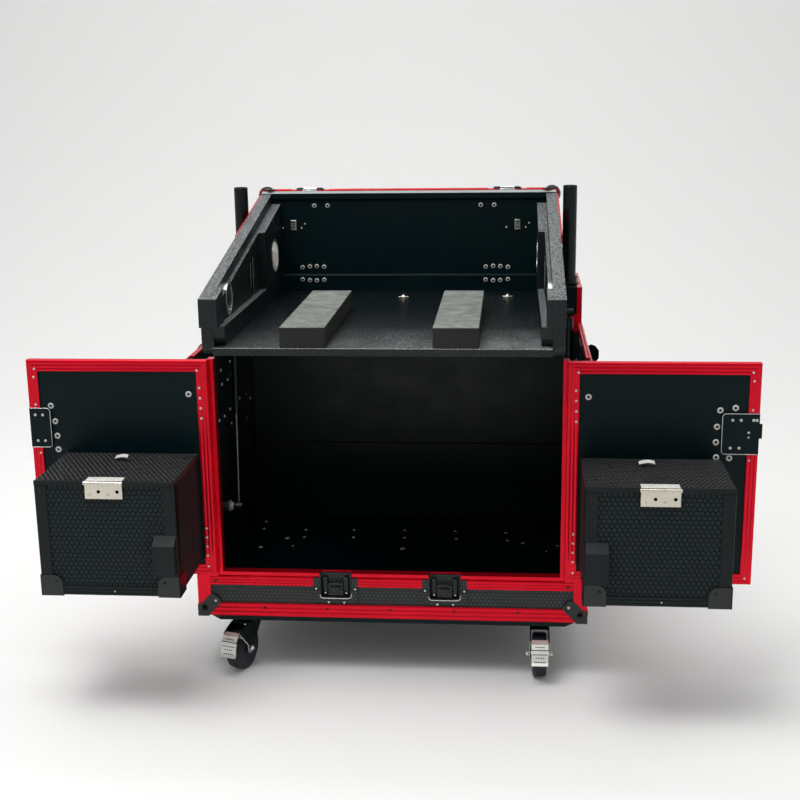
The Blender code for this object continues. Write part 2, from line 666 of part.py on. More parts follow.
def make_pedal(word, place):
    """Brake pedal: a pressed plate that hangs in front of the tyre from a barrel in the fork."""
    half = FORK_IN - GAP
    plate = [(PEDAL_Y - 0.003, PEDAL_Z + 0.005), (PEDAL_Y - 0.015, PEDAL_Z + 0.001),
             (PEDAL_Y - 0.024, PEDAL_Z - 0.012), (PEDAL_Y - 0.029, PEDAL_Z - 0.044),
             (PEDAL_Y - 0.034, PEDAL_Z - 0.050), (PEDAL_Y - 0.032, PEDAL_Z - 0.052),
             (PEDAL_Y - 0.026, PEDAL_Z - 0.046), (PEDAL_Y - 0.021, PEDAL_Z - 0.013),
             (PEDAL_Y - 0.013, PEDAL_Z - 0.002), (PEDAL_Y - 0.003, PEDAL_Z + 0.001)]
    pedal = built_at_origin(slab("pedal_" + word, plate, "X", (-half, half), "zinc_steel"))
    barrel = built_at_origin(rod("pedal_barrel_" + word, (PEDAL_Y, PEDAL_Z), 0.0055, "X",
                                 (-half, half), 14))
    add(pedal, barrel)
    for obj in (pedal, barrel):
        at_castor(obj, place, (0.0, PEDAL_Y, PEDAL_Z))
    return pedal


# Console tray

def rim(y):
    """Height of the cheeks' sloping top at depth y."""
    return RIM_FRONT + (RIM_REAR - RIM_FRONT) * (y - TRAY_FRONT) / (TRAY_BACK - TRAY_FRONT)


def tray_origin(side=0.0):
    return (side * TRAY_OUT, *TRAY_PIVOT)


def make_tray_floor():
    half = TRAY_OUT - CHEEK - GAP
    low = TRAY_FLOOR - TRAY_THICK
    outline = [(TRAY_FRONT + 0.002, low), (TRAY_BACK - GAP, low), (TRAY_BACK - GAP, TRAY_FLOOR),
               (TRAY_FRONT + 0.004, TRAY_FLOOR), (TRAY_FRONT + 0.002, TRAY_FLOOR - 0.002)]
    return slab("tray_floor", outline, "X", (-half, half), "black_laminate", tray_origin())


def make_cheek(side, word):
    """Side of the tray: sloping rim, front block, ledge, thicker rear part and its holes."""
    end = TRAY_BACK - GAP
    setback = TRAY_FRONT + 0.020
    outline = [(setback + 0.012, CHEEK_BOTTOM), (end, CHEEK_BOTTOM), (end, rim(end)),
               (TRAY_FRONT, rim(TRAY_FRONT)), (TRAY_FRONT, BLOCK_BOTTOM),
               (setback, BLOCK_BOTTOM), (setback + 0.001, CHEEK_BOTTOM + 0.022),
               (setback + 0.005, CHEEK_BOTTOM + 0.009)]
    cheek = slab("cheek_" + word, outline, "X", ordered(side, TRAY_OUT - CHEEK, TRAY_OUT),
                 "grained_trim", tray_origin(side))
    top = rim(end) - RIM_TALL
    block_end = TRAY_FRONT + BLOCK_DEEP
    liner = slab("liner_" + word, [(block_end - 0.001, TRAY_FLOOR + GAP), (end, TRAY_FLOOR + GAP),
                                   (end, top), (block_end - 0.001, rim(block_end) - RIM_TALL)],
                 "X", ordered(side, LINER_IN, TRAY_OUT - CHEEK + 0.001))
    rear = slab("rear_part_" + word, [(LEDGE_REAR, TRAY_FLOOR + GAP), (end, TRAY_FLOOR + GAP),
                                      (end, top - GAP), (LEDGE_REAR, rim(LEDGE_REAR) - RIM_TALL - GAP)],
                "X", ordered(side, LEDGE_IN, LINER_IN + 0.001))
    ledge = slab("ledge_" + word, [(setback + 0.012, TRAY_FLOOR + GAP), (end, TRAY_FLOOR + GAP),
                                   (end, LEDGE_TOP), (setback + 0.001, LEDGE_TOP),
                                   (setback + 0.003, TRAY_FLOOR + 0.020)],
                 "X", ordered(side, LEDGE_IN, TRAY_OUT - CHEEK + 0.001))
    front = slab("front_block_" + word, [(TRAY_FRONT, BLOCK_BOTTOM), (block_end, BLOCK_BOTTOM),
                                         (block_end, rim(block_end) - GAP),
                                         (TRAY_FRONT, rim(TRAY_FRONT) - GAP)],
                 "X", ordered(side, TRAY_OUT - BLOCK_WIDE, TRAY_OUT - CHEEK + 0.001))
    through = ordered(side, TRAY_OUT - 0.060, TRAY_OUT + 0.01)
    oval = slab("oval_" + word, circle(OVAL, OVAL_R, 28, OVAL_SQUASH), "X", through)
    hand = slab("hand_hole_" + word, circle(HAND_HOLE, HAND_R, 24, HAND_SQUASH), "X", through)
    port = block("port_" + word, through, SLOT_Y, SLOT_Z)
    bore = rod("pin_bore_" + word, TRAY_PIVOT, PIN_R + GAP, "X",
               ordered(side, TRAY_OUT - 0.0203, TRAY_OUT + 0.01))
    lug = rod("spring_lug_" + word, SPRING_HEAD, EYE_R, "X",
              ordered(side, TRAY_OUT - 0.002, SPRING_X - 0.011), 16)
    add(cheek, liner, ledge, rear, front, lug)
    return cut(cheek, oval, port, hand, bore)


def make_rear_panel():
    """Back of the tray, stepped back above the cable shelf line, with its padded top rim."""
    half = SHELL_HALF - SHEET - GAP
    top = SHELL_TOP - SHEET - GAP
    outline = [(TRAY_BACK, CHEEK_BOTTOM), (TRAY_REAR, CHEEK_BOTTOM), (TRAY_REAR, top),
               (TRAY_BACK + 0.010, top), (TRAY_BACK, RIM_REAR + 0.002),
               (TRAY_BACK, RIM_REAR - 0.014), (TRAY_BACK + 0.006, RIM_REAR - 0.020),
               (TRAY_BACK + 0.006, PANEL_STEP + 0.001), (TRAY_BACK, PANEL_STEP - 0.003)]
    panel = slab("rear_panel", outline, "X", (-half, half), "black_laminate", tray_origin())
    for side in (-1, 1):
        x = side * SHELL_LATCH_X
        z = SHELL_LATCH_Z
        flange = block("shell_dish_%d" % side, (x - DISH_WIDE / 2, x + DISH_WIDE / 2),
                       (TRAY_REAR - 0.004, TRAY_REAR + SHELL_DISH_PROUD),
                       (z - DISH_TALL / 2, z + DISH_TALL / 2))
        recess = latch_recess("shell_recess_%d" % side, (x, TRAY_REAR + SHELL_DISH_PROUD, z), "Y")
        boss = rod("shell_boss_%d" % side, (x, z), BOSS_R, "Y",
                   (TRAY_REAR - 0.008, TRAY_REAR - 0.0005))
        add(panel, flange)
        cut(panel, recess)
        add(panel, boss)
    return panel


def make_shell_frame():
    """Extrusion round the outer edges of the tray's back, and down the cheeks' rear edges."""
    outer = TRAY_REAR + SHEET
    stations = [
        ((-SHELL_HALF, outer, CHEEK_BOTTOM), (1, 0, 0), (0, -1, 0)),
        ((-SHELL_HALF, outer, SHELL_TOP), (1, 0, -1), (0, -1, 0)),
        ((SHELL_HALF, outer, SHELL_TOP), (-1, 0, -1), (0, -1, 0)),
        ((SHELL_HALF, outer, CHEEK_BOTTOM), (-1, 0, 0), (0, -1, 0)),
    ]
    section = [(0, 0), (0, RAIL), (SHEET, RAIL), (SHEET, SHEET - GAP), (RAIL - 0.003, SHEET - GAP),
               (RAIL - 0.003, 0)]
    frame = sweep("shell_frame", section, stations, "red_anodised", False, tray_origin())
    start, end = TRAY_BACK - SIDE_STRIP, TRAY_BACK - 0.0025
    for side in (-1, 1):
        for name, near, far, low, outer in (
                ("strip", start, end, RIM_TALL, TRAY_OUT + 0.005),
                ("tab", end - 0.020, TRAY_BACK + 0.015, RIM_TALL - 0.002, SHELL_HALF - 0.0002)):
            outline = [(near, rim(near) - low), (far, rim(far) - low), (far, rim(far) - 0.002),
                       (near, rim(near) - 0.002)]
            add(frame, slab("shell_%s_%d" % (name, side), outline, "X",
                            ordered(side, TRAY_OUT + GAP, outer)))
    return frame


def make_foam(side, word):
    middle = FOAM_MIDDLES[side]
    return block("foam_" + word, (middle - FOAM_WIDE / 2, middle + FOAM_WIDE / 2), FOAM_Y,
                 (TRAY_FLOOR + GAP, TRAY_FLOOR + FOAM_TALL), "grey_foam", tray_origin())


# Twist latches: a boss that turns in a dish, with a folding wing and a hook

def make_wing(name, centre, facing, sign):
    """A wing that stands out of its dish. facing is the axis it turns about."""
    x, y, z = centre
    thick = WING_SHEET / 2
    outline = [(-WING_WIDE / 2 + 0.006, 0.0), (WING_WIDE / 2 - 0.006, 0.0), (WING_WIDE / 2, 0.016),
               (WING_WIDE / 2 - 0.004, 0.027), (WING_WIDE / 2 - 0.016, WING_TALL),
               (-WING_WIDE / 2 + 0.016, WING_TALL), (-WING_WIDE / 2 + 0.004, 0.027),
               (-WING_WIDE / 2, 0.016)]
    if facing == "X":
        flat = [(x + sign * h, z + w) for w, h in outline]
        wing = slab(name, flat, "Y", (y - thick, y + thick), "black_steel", centre)
        hub = rod(name + "_hub", (y, z), HUB_R, "X", tuple(sorted((x, x + sign * 0.006))))
    else:
        flat = [(x + w, y + sign * h) for w, h in outline]
        wing = slab(name, flat, "Z", (z - thick, z + thick), "black_steel", centre)
        hub = rod(name + "_hub", (x, z), HUB_R, "Y", tuple(sorted((y, y + sign * 0.006))))
    return add(wing, hub)


def make_wings():
    for side, word in ((-1, "left"), (1, "right")):
        make_wing("side_latch_" + word, (side * (HALF - 0.004 + GAP), SIDE_LATCH_Y, SIDE_DISH_Z),
                  "X", side)
        make_wing("shell_latch_" + word,
                  (side * SHELL_LATCH_X, TRAY_REAR - 0.0005 + GAP, SHELL_LATCH_Z), "Y", 1)
        make_wing("door_latch_" + word, (side * FOOT_LATCH_X, DOOR_BACK - LATCH_SEAT + GAP,
                                         FOOT_LATCH_Z), "Y", 1)
    make_wing("centre_latch", (LOCK_X, DOOR_BACK - LATCH_SEAT + GAP, LOCK_Z), "Y", 1)


# Doors

def door_origin(side):
    return (side * HINGE_X, HINGE_Y, DOOR_BOTTOM)


def make_door_frame(side, word):
    section = [(0, 0), (DOOR_RAIL, 0), (DOOR_RAIL, SHEET), (SHEET, SHEET),
               (SHEET, DOOR_THICK - SHEET), (DOOR_RAIL, DOOR_THICK - SHEET),
               (DOOR_RAIL, DOOR_THICK), (0, DOOR_THICK)]
    stations = []
    for x, z, inward_x, inward_z in ((DOOR_IN, DOOR_BOTTOM, 1, 1), (DOOR_OUT, DOOR_BOTTOM, -1, 1),
                                     (DOOR_OUT, SEAM, -1, -1), (DOOR_IN, SEAM, 1, -1)):
        stations.append(((side * x, DOOR_FRONT, z), (side * inward_x, 0, inward_z), (0, 1, 0)))
    frame = sweep("door_frame_" + word, section, stations, "red_anodised", True, door_origin(side))
    for index, z in enumerate(HINGE_HEIGHTS):
        leaf = block("hinge_leaf_%s%d" % (word, index), ordered(side, HINGE_X - 0.001, DOOR_IN + 0.026),
                     (HINGE_Y - 0.001, DOOR_BACK - 0.0002),
                     (z - HINGE_LEAF, z + HINGE_LEAF))
        add(frame, leaf)
    notch = block("lock_notch_" + word, ordered(side, DOOR_OUT - LOCK_WIDE[side] - 0.0005,
                                                DOOR_OUT + 0.01),
                  (DOOR_FRONT - 0.01, DOOR_BACK + 0.01),
                  (LOCK_Z - LOCK_HALF - GAP, LOCK_Z + LOCK_HALF + GAP))
    reach = DISH_WIDE / 2 + 0.0005
    foot = block("foot_notch_" + word, ordered(side, FOOT_LATCH_X - reach, FOOT_LATCH_X + reach),
                 (DOOR_FRONT + SHEET - GAP / 2, DOOR_BACK + 0.01),
                 (DOOR_BOTTOM - 0.01, DOOR_BOTTOM + FOOT_DISH_TALL + 0.0005))
    return cut(frame, notch, foot)


def make_door_panel(side, word):
    """Inner panel of a door, with the backs of the latch dishes that pass through it."""
    inset = SHEET + GAP
    span_y = (DOOR_FRONT + inset, DOOR_BACK - inset)
    panel = block("door_panel_" + word, ordered(side, DOOR_IN + inset, DOOR_OUT - inset), span_y,
                  (DOOR_BOTTOM + inset, SEAM - inset), "black_laminate", door_origin(side))
    plate = (LOCK_Z - LOCK_HALF, LOCK_Z + LOCK_HALF)
    near = DOOR_OUT - LOCK_WIDE[side] + LOCK_ROUND
    outline = arc((near, plate[1] - LOCK_ROUND), LOCK_ROUND, 1, 2)
    outline += arc((near, plate[0] + LOCK_ROUND), LOCK_ROUND, 2, 3)
    outline += [(DOOR_OUT, plate[0]), (DOOR_OUT, plate[1])]
    lock_back = slab("lock_back_" + word, [(side * x, z) for x, z in outline], "Y",
                     (DOOR_FRONT - LOCK_PROUD, DOOR_BACK))
    dish = ordered(side, FOOT_LATCH_X - DISH_WIDE / 2, FOOT_LATCH_X + DISH_WIDE / 2)
    foot_back = block("foot_back_" + word, dish, (DOOR_FRONT + inset, DOOR_BACK),
                      (DOOR_BOTTOM, DOOR_BOTTOM + FOOT_DISH_TALL))
    foot_recess = latch_recess("foot_recess_" + word, (side * FOOT_LATCH_X, DOOR_BACK, FOOT_LATCH_Z),
                               "Y")
    boss_y = (DOOR_BACK - 0.012, DOOR_BACK - LATCH_SEAT)
    boss = rod("foot_boss_" + word, (side * FOOT_LATCH_X, FOOT_LATCH_Z), BOSS_R, "Y", boss_y)
    recess_start = DOOR_OUT - LOCK_WIDE[side] + 0.0075
    lock_recess = block("lock_recess_" + word, ordered(side, recess_start, DOOR_OUT - 0.012),
                        (DOOR_BACK - DISH_DEEP, DOOR_BACK + 0.01), (LOCK_Z - 0.038, LOCK_Z + 0.038))
    relief = block("hinge_relief_" + word, ordered(side, DOOR_IN, DOOR_IN + 0.0263),
                   (HINGE_Y - 0.0013, DOOR_BACK), (DOOR_BOTTOM, SEAM))
    cut(panel, relief)
    add(panel, lock_back, foot_back)
    cut(panel, foot_recess, lock_recess)
    add(panel, boss)
    hook_y = (DOOR_BACK - 0.013, DOOR_BACK - 0.008)
    if side < 0:
        catch = block("lock_catch", (-DOOR_OUT - 0.01, 0.012 - DOOR_OUT),
                      (hook_y[0] - 0.001, DOOR_BACK + 0.01), (LOCK_Z - 0.016, LOCK_Z + 0.024))
        cut(panel, catch)
    else:
        tongue = block("lock_tongue", (DOOR_OUT - 0.002, DOOR_OUT + 0.009), hook_y,
                       (LOCK_Z - 0.014, LOCK_Z + 0.022))
        add(panel, tongue, rod("lock_boss", (LOCK_X, LOCK_Z), BOSS_R, "Y", boss_y))
    return panel


def make_storage_box(side, word):
    """Open-topped box on a door, with corner extrusions and corner protectors on its edges."""
    back = DOOR_FRONT + SHEET
    box = block("storage_box_" + word, ordered(side, BOX_IN, BOX_OUT), (BOX_FRONT, back),
                (BOX_BOTTOM, BOX_TOP), "black_laminate", door_origin(side))
    bars = []
    for index, (low, high) in enumerate(((BOX_IN - BOX_PROUD, BOX_IN + BOX_TRIM),
                                         (BOX_OUT - BOX_TRIM, BOX_OUT + BOX_PROUD))):
        bars.append(block("box_post_%s%d" % (word, index), ordered(side, low, high),
                          (BOX_FRONT - BOX_PROUD, BOX_FRONT + BOX_TRIM), (BOX_BOTTOM, BOX_TOP)))
    bars.append(block("box_foot_" + word, ordered(side, BOX_IN - BOX_PROUD, BOX_OUT + BOX_PROUD),
                      (BOX_FRONT - BOX_PROUD, BOX_FRONT + BOX_TRIM),
                      (BOX_BOTTOM - BOX_PROUD, BOX_BOTTOM + BOX_TRIM - 0.004)))
    guard = GUARD_PROUD
    for index, (low, high) in enumerate(((BOX_IN - guard, BOX_IN + GUARD_WIDE),
                                         (BOX_OUT - GUARD_WIDE, BOX_OUT + guard))):
        near, far = (low, high) if index == 0 else (high, low)
        step = 1 if index == 0 else -1
        outline = [(near, BOX_BOTTOM - guard), (far, BOX_BOTTOM - guard)]
        for across, up in arc((-GUARD_ROUND, GUARD_TALL - GUARD_ROUND), GUARD_ROUND, 0, 1):
            outline.append((far + step * across, BOX_BOTTOM + up))
        outline.append((near, BOX_BOTTOM + GUARD_TALL))
        outline = [(side * x, z) for x, z in outline]
        bars.append(slab("box_guard_%s%d" % (word, index), outline, "Y",
                         (BOX_FRONT - guard, BOX_FRONT + 0.046)))
    add(box, *bars)
    hollow = block("box_hollow_" + word, ordered(side, BOX_IN + BOX_WALL, BOX_OUT - BOX_WALL),
                   (BOX_FRONT + BOX_WALL, back - BOX_WALL), (BOX_BOTTOM + BOX_WALL, BOX_TOP + 0.05))
    return cut(box, hollow)


def lid_axis():
    return (BOX_FRONT - 0.0075, BOX_TOP + LID_THICK - 0.003)


def make_box_lid(side, word):
    middle = side * (BOX_IN + BOX_OUT) / 2
    origin = (middle, *lid_axis())
    low = BOX_TOP + GAP
    lid = block("box_lid_" + word, ordered(side, BOX_IN - 0.001, BOX_OUT + 0.001),
                (BOX_FRONT - BOX_PROUD, DOOR_FRONT - 0.0005), (low, low + LID_THICK - GAP),
                "black_laminate", origin)
    leaf = block("lid_leaf_" + word, (middle - LEAF_HALF, middle + LEAF_HALF),
                 (BOX_FRONT - 0.003, BOX_FRONT + 0.026), (BOX_TOP + LID_THICK - 0.001,
                                                          BOX_TOP + LID_THICK + 0.0015))
    return add(lid, leaf)


def make_lid_hinge(side, word):
    """Steel butt hinge: its knuckle along the lid's front edge and its leaf on the box."""
    middle = side * (BOX_IN + BOX_OUT) / 2
    y, z = lid_axis()
    knuckle = rod("lid_hinge_" + word, (y, z), KNUCKLE_R, "X",
                  (middle - LEAF_HALF - 0.004, middle + LEAF_HALF + 0.004), 16,
                  "zinc_steel", (middle, y, z))
    leaf = block("box_leaf_" + word, (middle - LEAF_HALF, middle + LEAF_HALF),
                 (BOX_FRONT - 0.0036, BOX_FRONT - 0.0017), (BOX_TOP - LEAF_DROP, BOX_TOP - 0.001))
    neck = block("box_neck_" + word, (middle - LEAF_HALF, middle + LEAF_HALF),
                 (y - 0.001, BOX_FRONT - 0.0018), (BOX_TOP - 0.004, BOX_TOP - 0.001))
    web = block("box_web_" + word, (middle - LEAF_HALF, middle + LEAF_HALF), (y - 0.001, y + 0.001),
                (BOX_TOP - 0.002, z))
    return add(knuckle, neck, leaf, web)


def make_buffer(side, word):
    """Foam block on the box's front that presses on the console when the door is shut."""
    low, high = BUFFER_Z
    start, end = BOX_FRONT - BOX_PROUD - GAP, BOX_FRONT - BUFFER_DEEP
    outline = [(start, low), (start, high), (end, high - 0.020), (end, low)]
    return slab("box_buffer_" + word, outline, "X",
                ordered(side, BOX_IN + 0.0005, BOX_IN + BUFFER_WIDE + 0.0005),
                "black_rubber", door_origin(side))


# Gas springs: the rod is pinned to the wall, the tube slides on it and ends at the tray

def spring_frame():
    foot, head = Vector(SPRING_FOOT), Vector(SPRING_HEAD)
    length = (head - foot).length
    lean = math.atan2(head[0] - foot[0], head[1] - foot[1])
    return length, lean


def upright_spring_piece(obj, side):
    """Lean a piece that was built straight above the wall pin along the spring's line."""
    _, lean = spring_frame()
    pivot = Vector((side * SPRING_X, SPRING_FOOT[0] + FRONT_Y, SPRING_FOOT[1]))
    obj.data.transform(Matrix.Rotation(-lean, 4, "X"))
    obj.location = pivot
    return obj


def make_spring(side, word):
    length, _ = spring_frame()
    here = (side * SPRING_X, *SPRING_FOOT)
    low = SPRING_FOOT[1]
    eye = slab("spring_rod_" + word, circle(SPRING_FOOT, EYE_R, 16), "X",
               (here[0] - 0.0095, here[0] + 0.0095), "zinc_steel", here, True)
    shaft = rod("spring_shaft_" + word, here[:2], ROD_R, "Z", (low + 0.004, low + length - 0.13), 16,
                None, here)
    tube_low = low + length - TUBE_LONG
    tube = rod("spring_tube_" + word, here[:2], TUBE_R, "Z", (tube_low, low + length - 0.016), 20,
               "black_steel", here)
    bore = rod("spring_bore_" + word, here[:2], ROD_R + GAP, "Z",
               (tube_low - 0.01, low + length - 0.022), 16, None, here)
    head = slab("spring_head_" + word, circle((here[1], low + length), EYE_R, 16), "X",
                (here[0] - 0.0095, here[0] + 0.0095), None, here)
    neck = rod("spring_neck_" + word, here[:2], 0.006, "Z",
               (low + length - 0.018, low + length - 0.004), 14, None, here)
    add(eye, shaft)
    add(tube, neck, head)
    cut(tube, bore)
    for obj in (eye, shaft, tube, bore, head, neck):
        upright_spring_piece(obj, side)
    return eye, tube


def build():
    make_castor_board()
    make_base_frame()
    make_opening_frame()
    make_front_panel()
    make_back_wall()
    make_top_frame()
    make_tray_floor()
    make_rear_panel()
    make_shell_frame()
    make_wings()
    for side, word in ((-1, "left"), (1, "right")):
        make_side_wall(side, word)
        make_tower(side, word)
        make_post(side, word)
        make_cheek(side, word)
        make_foam(side, word)
        make_door_frame(side, word)
        make_door_panel(side, word)
        make_storage_box(side, word)
        make_box_lid(side, word)
        make_lid_hinge(side, word)
        make_buffer(side, word)
        make_spring(side, word)
        for end, y, inward_y in (("front", 0.0, 1), ("rear", DEPTH, -1)):
            ball_corner("ball_corner_%s_%s" % (end, word), (side * HALF, y, BASE),
                        (-side, inward_y, 1), 1.0, "XY", BALL_OUT)
        ball_corner("shell_corner_" + word, (side * SHELL_HALF, TRAY_REAR + SHEET, SHELL_TOP),
                    (-side, -1, -1), 0.75, "XYZ", SHELL_BALL_OUT)
    for word, place in castor_places().items():
        make_fork(word, place)
        make_wheel(word, place)
        make_pedal(word, place)


build()
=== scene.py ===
import json
import math

import bmesh
import bpy
import numpy as np
from bpy.props import FloatProperty, FloatVectorProperty, IntProperty, PointerProperty
from mathutils import Matrix, Vector


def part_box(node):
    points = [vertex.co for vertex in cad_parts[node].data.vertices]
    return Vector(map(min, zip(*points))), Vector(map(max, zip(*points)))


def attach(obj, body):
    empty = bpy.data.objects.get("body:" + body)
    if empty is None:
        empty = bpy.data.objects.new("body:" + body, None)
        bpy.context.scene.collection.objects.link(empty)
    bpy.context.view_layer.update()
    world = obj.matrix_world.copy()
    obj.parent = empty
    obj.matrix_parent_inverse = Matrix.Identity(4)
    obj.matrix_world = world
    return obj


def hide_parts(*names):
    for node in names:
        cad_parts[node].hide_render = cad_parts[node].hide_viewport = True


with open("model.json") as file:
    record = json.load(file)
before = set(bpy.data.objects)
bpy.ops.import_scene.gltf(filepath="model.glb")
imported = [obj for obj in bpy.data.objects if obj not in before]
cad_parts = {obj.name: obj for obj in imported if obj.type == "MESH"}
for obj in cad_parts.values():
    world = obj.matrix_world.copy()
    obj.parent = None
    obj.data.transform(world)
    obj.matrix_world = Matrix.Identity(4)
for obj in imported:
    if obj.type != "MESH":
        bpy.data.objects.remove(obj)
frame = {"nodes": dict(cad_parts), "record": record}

bl_info = {
    "name": "Mixer flight case",
    "version": (1, 0, 0),
    "blender": (4, 5, 0),
    "location": "View3D > Sidebar > Flight case",
    "description": "Looks of a mixer flight case, built round its solids",
    "category": "Object",
}

X, Y, Z = np.eye(3)
SIDES = ((-1, "left"), (1, "right"))
CORNERS = ("front_left", "front_right", "rear_left", "rear_right")
JOINTS = {joint["name"]: joint for joint in frame["record"]["behaviour"]["joints"]}


def low(node):
    """Lowest corner of a solid's box."""
    return np.array(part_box(node)[0])


def high(node):
    """Highest corner of a solid's box."""
    return np.array(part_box(node)[1])


def pivot(joint):
    """Point on a joint's axis."""
    return np.array(JOINTS[joint]["pos_m"])


# Places read from the solids. Every length in this file is in metres.

FRONT = low("base_frame")[1]
BACK = high("base_frame")[1]
BASE = low("base_frame")[2]
HALF = high("base_frame")[0]
SEAM = high("side_wall_left")[2] + 0.0033
TRAY_INNER = low("rear_panel")[1]
TRAY_TOP = high("tray_floor")[2]

# Edge extrusions: the widths of their faces and the grooves in the narrower ones, then how far the
# top rail and the towers' trims stand in, the gaps at the ends, and half of each latch's break

RAIL_WIDE = 0.035
POST_WIDE = 0.0335
POST_MIDDLE = 0.0165
TOP_WIDE = 0.033
TOP_EDGE_WIDE = 0.0138
JAMB_WIDE = 0.0225
DOOR_WIDE = 0.027
SHELL_WIDE = 0.032
SHELL_BACK_WIDE = 0.030
BOX_WIDE = 0.028
BOX_FOOT_WIDE = 0.024
POST_GROOVES = 3
DOOR_GROOVES = 2
TOP_INSET = 0.034
TOWER_WIDE = 0.049
TOWER_STEP = 0.0023
END_GAP = 0.002
HAIR = 0.0005
LATCH_REACH = 0.057
CATCH_REACH = 0.0573
SHELL_LATCH_REACH = 0.056

# Catches in the sill: the sill's top, and each catch's place across the case and its middle height

SILL = 0.274
DISH_X = 0.140
CATCH_Z = 0.2335

# Lock plates at the middle of the doors, from each plate's inner edge and middle height

LOCK_Z = 0.663
LOCK_HALF = 0.0505
LOCK_BREAK = 0.0512
LOCK_ROUND = 0.009
LOCK_WIDE = {-1: 0.053, 1: 0.088}
LOCK_BOLTS = {
    -1: ((-0.001, 0.055), (-0.0095, 0.015), (-0.012, -0.023), (-0.012, -0.0586)),
    1: ((-0.005, 0.0565), (0.031, 0.0627), (-0.011, 0.0156), (-0.012, -0.023), (-0.010, -0.061),
        (0.021, -0.0624)),
}
LOCK_SCREWS = {
    -1: ((0.019, 0.033), (0.038, 0.033), (0.017, -0.034), (0.036, -0.034)),
    1: ((0.024, 0.0345), (0.044, 0.0345), (0.0735, 0.0345), (0.081, 0.0345), (0.021, -0.035),
        (0.042, -0.035)),
}
LOCK_STUDS = ((0.004, ((0.0022, -0.0003), (0.0030, 0.0009), (0.0012, 0.0013))),
              (-0.008, ((0.0018, -0.0003), (0.0024, 0.0009), (0.0010, 0.0012))))

# Console tray: its outer half width, the height of its rear rim, the rear wall's step above the
# lower bolts, and the bolts' places across it

TRAY_OUT = 0.432
RIM_REAR = 1.175
CONSOLE_STEP = 0.006
CONSOLE_SHIFT = -0.012
CONSOLE_BOLT_ROW = (0.240, 0.262, 0.283, 0.305)
CONSOLE_BOLT_PAIR = (0.225, 0.264)

# Heads inside the cabinet: (back from the front, height) on the walls, (across, back) on the floor

WALL_INNER = 0.4877
WALL_BOLTS = ((0.323, 0.734), (0.329, 0.693), (0.404, 0.689), (0.452, 0.695), (0.444, 0.731),
              (0.508, 0.727), (0.516, 0.687), (0.547, 0.598), (0.480, 0.598), (0.416, 0.600),
              (0.697, 0.561), (0.280, 0.603), (0.344, 0.598), (0.429, 0.555))
FLOOR_BOLTS = ((-0.450, 0.660), (-0.314, 0.590), (-0.166, 0.596), (-0.012, 0.600), (0.142, 0.598),
               (0.295, 0.592))
FLOOR_DISCS = ((-0.361, 0.548, 0.007), (-0.427, 0.468, 0.006), (-0.008, 0.476, 0.008),
               (0.343, 0.538, 0.006), (-0.334, 0.484, 0.003), (0.410, 0.473, 0.003),
               (0.443, 0.519, 0.004))

# Castors: path of a painted highlight along the fork's edge, as (ahead of the axle, above the axle)

FORK_HIGHLIGHT = ((0.0485, 0.0560), (0.0478, 0.0475), (0.0395, 0.0440), (0.0270, 0.0290),
             (0.0132, 0.0145), (0.0122, -0.0020), (0.0060, -0.0108), (-0.0058, -0.0108),
             (-0.0122, -0.0040))

# Camera: place from the case's front, and its turns in radians

CAMERA_X = 0.3075
CAMERA_AHEAD = 3.091
CAMERA_Z = 1.514
YAW, PITCH, ROLL = 0.0886, 0.246, -0.0143

# Brightness of the studio where the camera sees past the paper

WORLD_SEEN = 0.6


# Settings

def srgb(code):
    """Red, green and blue shares of an sRGB hex colour."""
    return tuple(int(code[k:k + 2], 16) / 255 for k in (1, 3, 5))


class MaterialSettings(bpy.types.PropertyGroup):
    red: FloatVectorProperty(
        name="Red", description="Anodised colour of the edge extrusions, as sRGB",
        subtype="COLOR_GAMMA", size=3, min=0, max=1, default=srgb("#EB0026"))
    laminate: FloatVectorProperty(
        name="Laminate", description="Film on the plywood, as sRGB",
        subtype="COLOR_GAMMA", size=3, min=0, max=1, default=srgb("#0E1D1E"))
    foam: FloatVectorProperty(
        name="Foam", description="Colour of the desk's foam strips, as sRGB",
        subtype="COLOR_GAMMA", size=3, min=0, max=1, default=srgb("#757974"))
    hex_pitch: FloatProperty(
        name="Hexagon pitch", description="Distance between the embossed hexagons",
        subtype="DISTANCE", unit="LENGTH", default=0.0122, min=0.002, max=0.05)


class ExtrusionSettings(bpy.types.PropertyGroup):
    grooves: IntProperty(
        name="Grooves", description="Grooves along a wide extrusion face", default=2, min=1, max=12)
    depth: FloatProperty(
        name="Groove depth", description="Depth of the grooves",
        subtype="DISTANCE", unit="LENGTH", default=0.0015, min=0.0001, max=0.003)


class FastenerSettings(bpy.types.PropertyGroup):
    bolt: FloatProperty(
        name="Bolt head", description="Radius of a bolt head",
        subtype="DISTANCE", unit="LENGTH", default=0.0062, min=0.001, max=0.02)
    rivet: FloatProperty(
        name="Rivet head", description="Radius of a rivet head",
        subtype="DISTANCE", unit="LENGTH", default=0.0034, min=0.001, max=0.02)


class StageSettings(bpy.types.PropertyGroup):
    lens: FloatProperty(
        name="Lens", description="Focal length on a 36 mm sensor",
        subtype="DISTANCE_CAMERA", default=58.44, min=10, max=300)
    key: FloatProperty(
        name="Key light", description="Power of the main soft light",
        subtype="POWER", default=185, min=0, max=5000)
    sky: FloatProperty(
        name="Studio", description="Brightness of the white studio above",
        default=1.2, min=0, max=5)


GROUPS = {
    "case_materials": MaterialSettings,
    "case_extrusion": ExtrusionSettings,
    "case_fastener": FastenerSettings,
    "case_stage": StageSettings,
}


# Geometry as numpy surfaces

def unit(vector):
    """The same direction with a length of 1."""
    vector = np.asarray(vector, float)
    return vector / np.linalg.norm(vector)


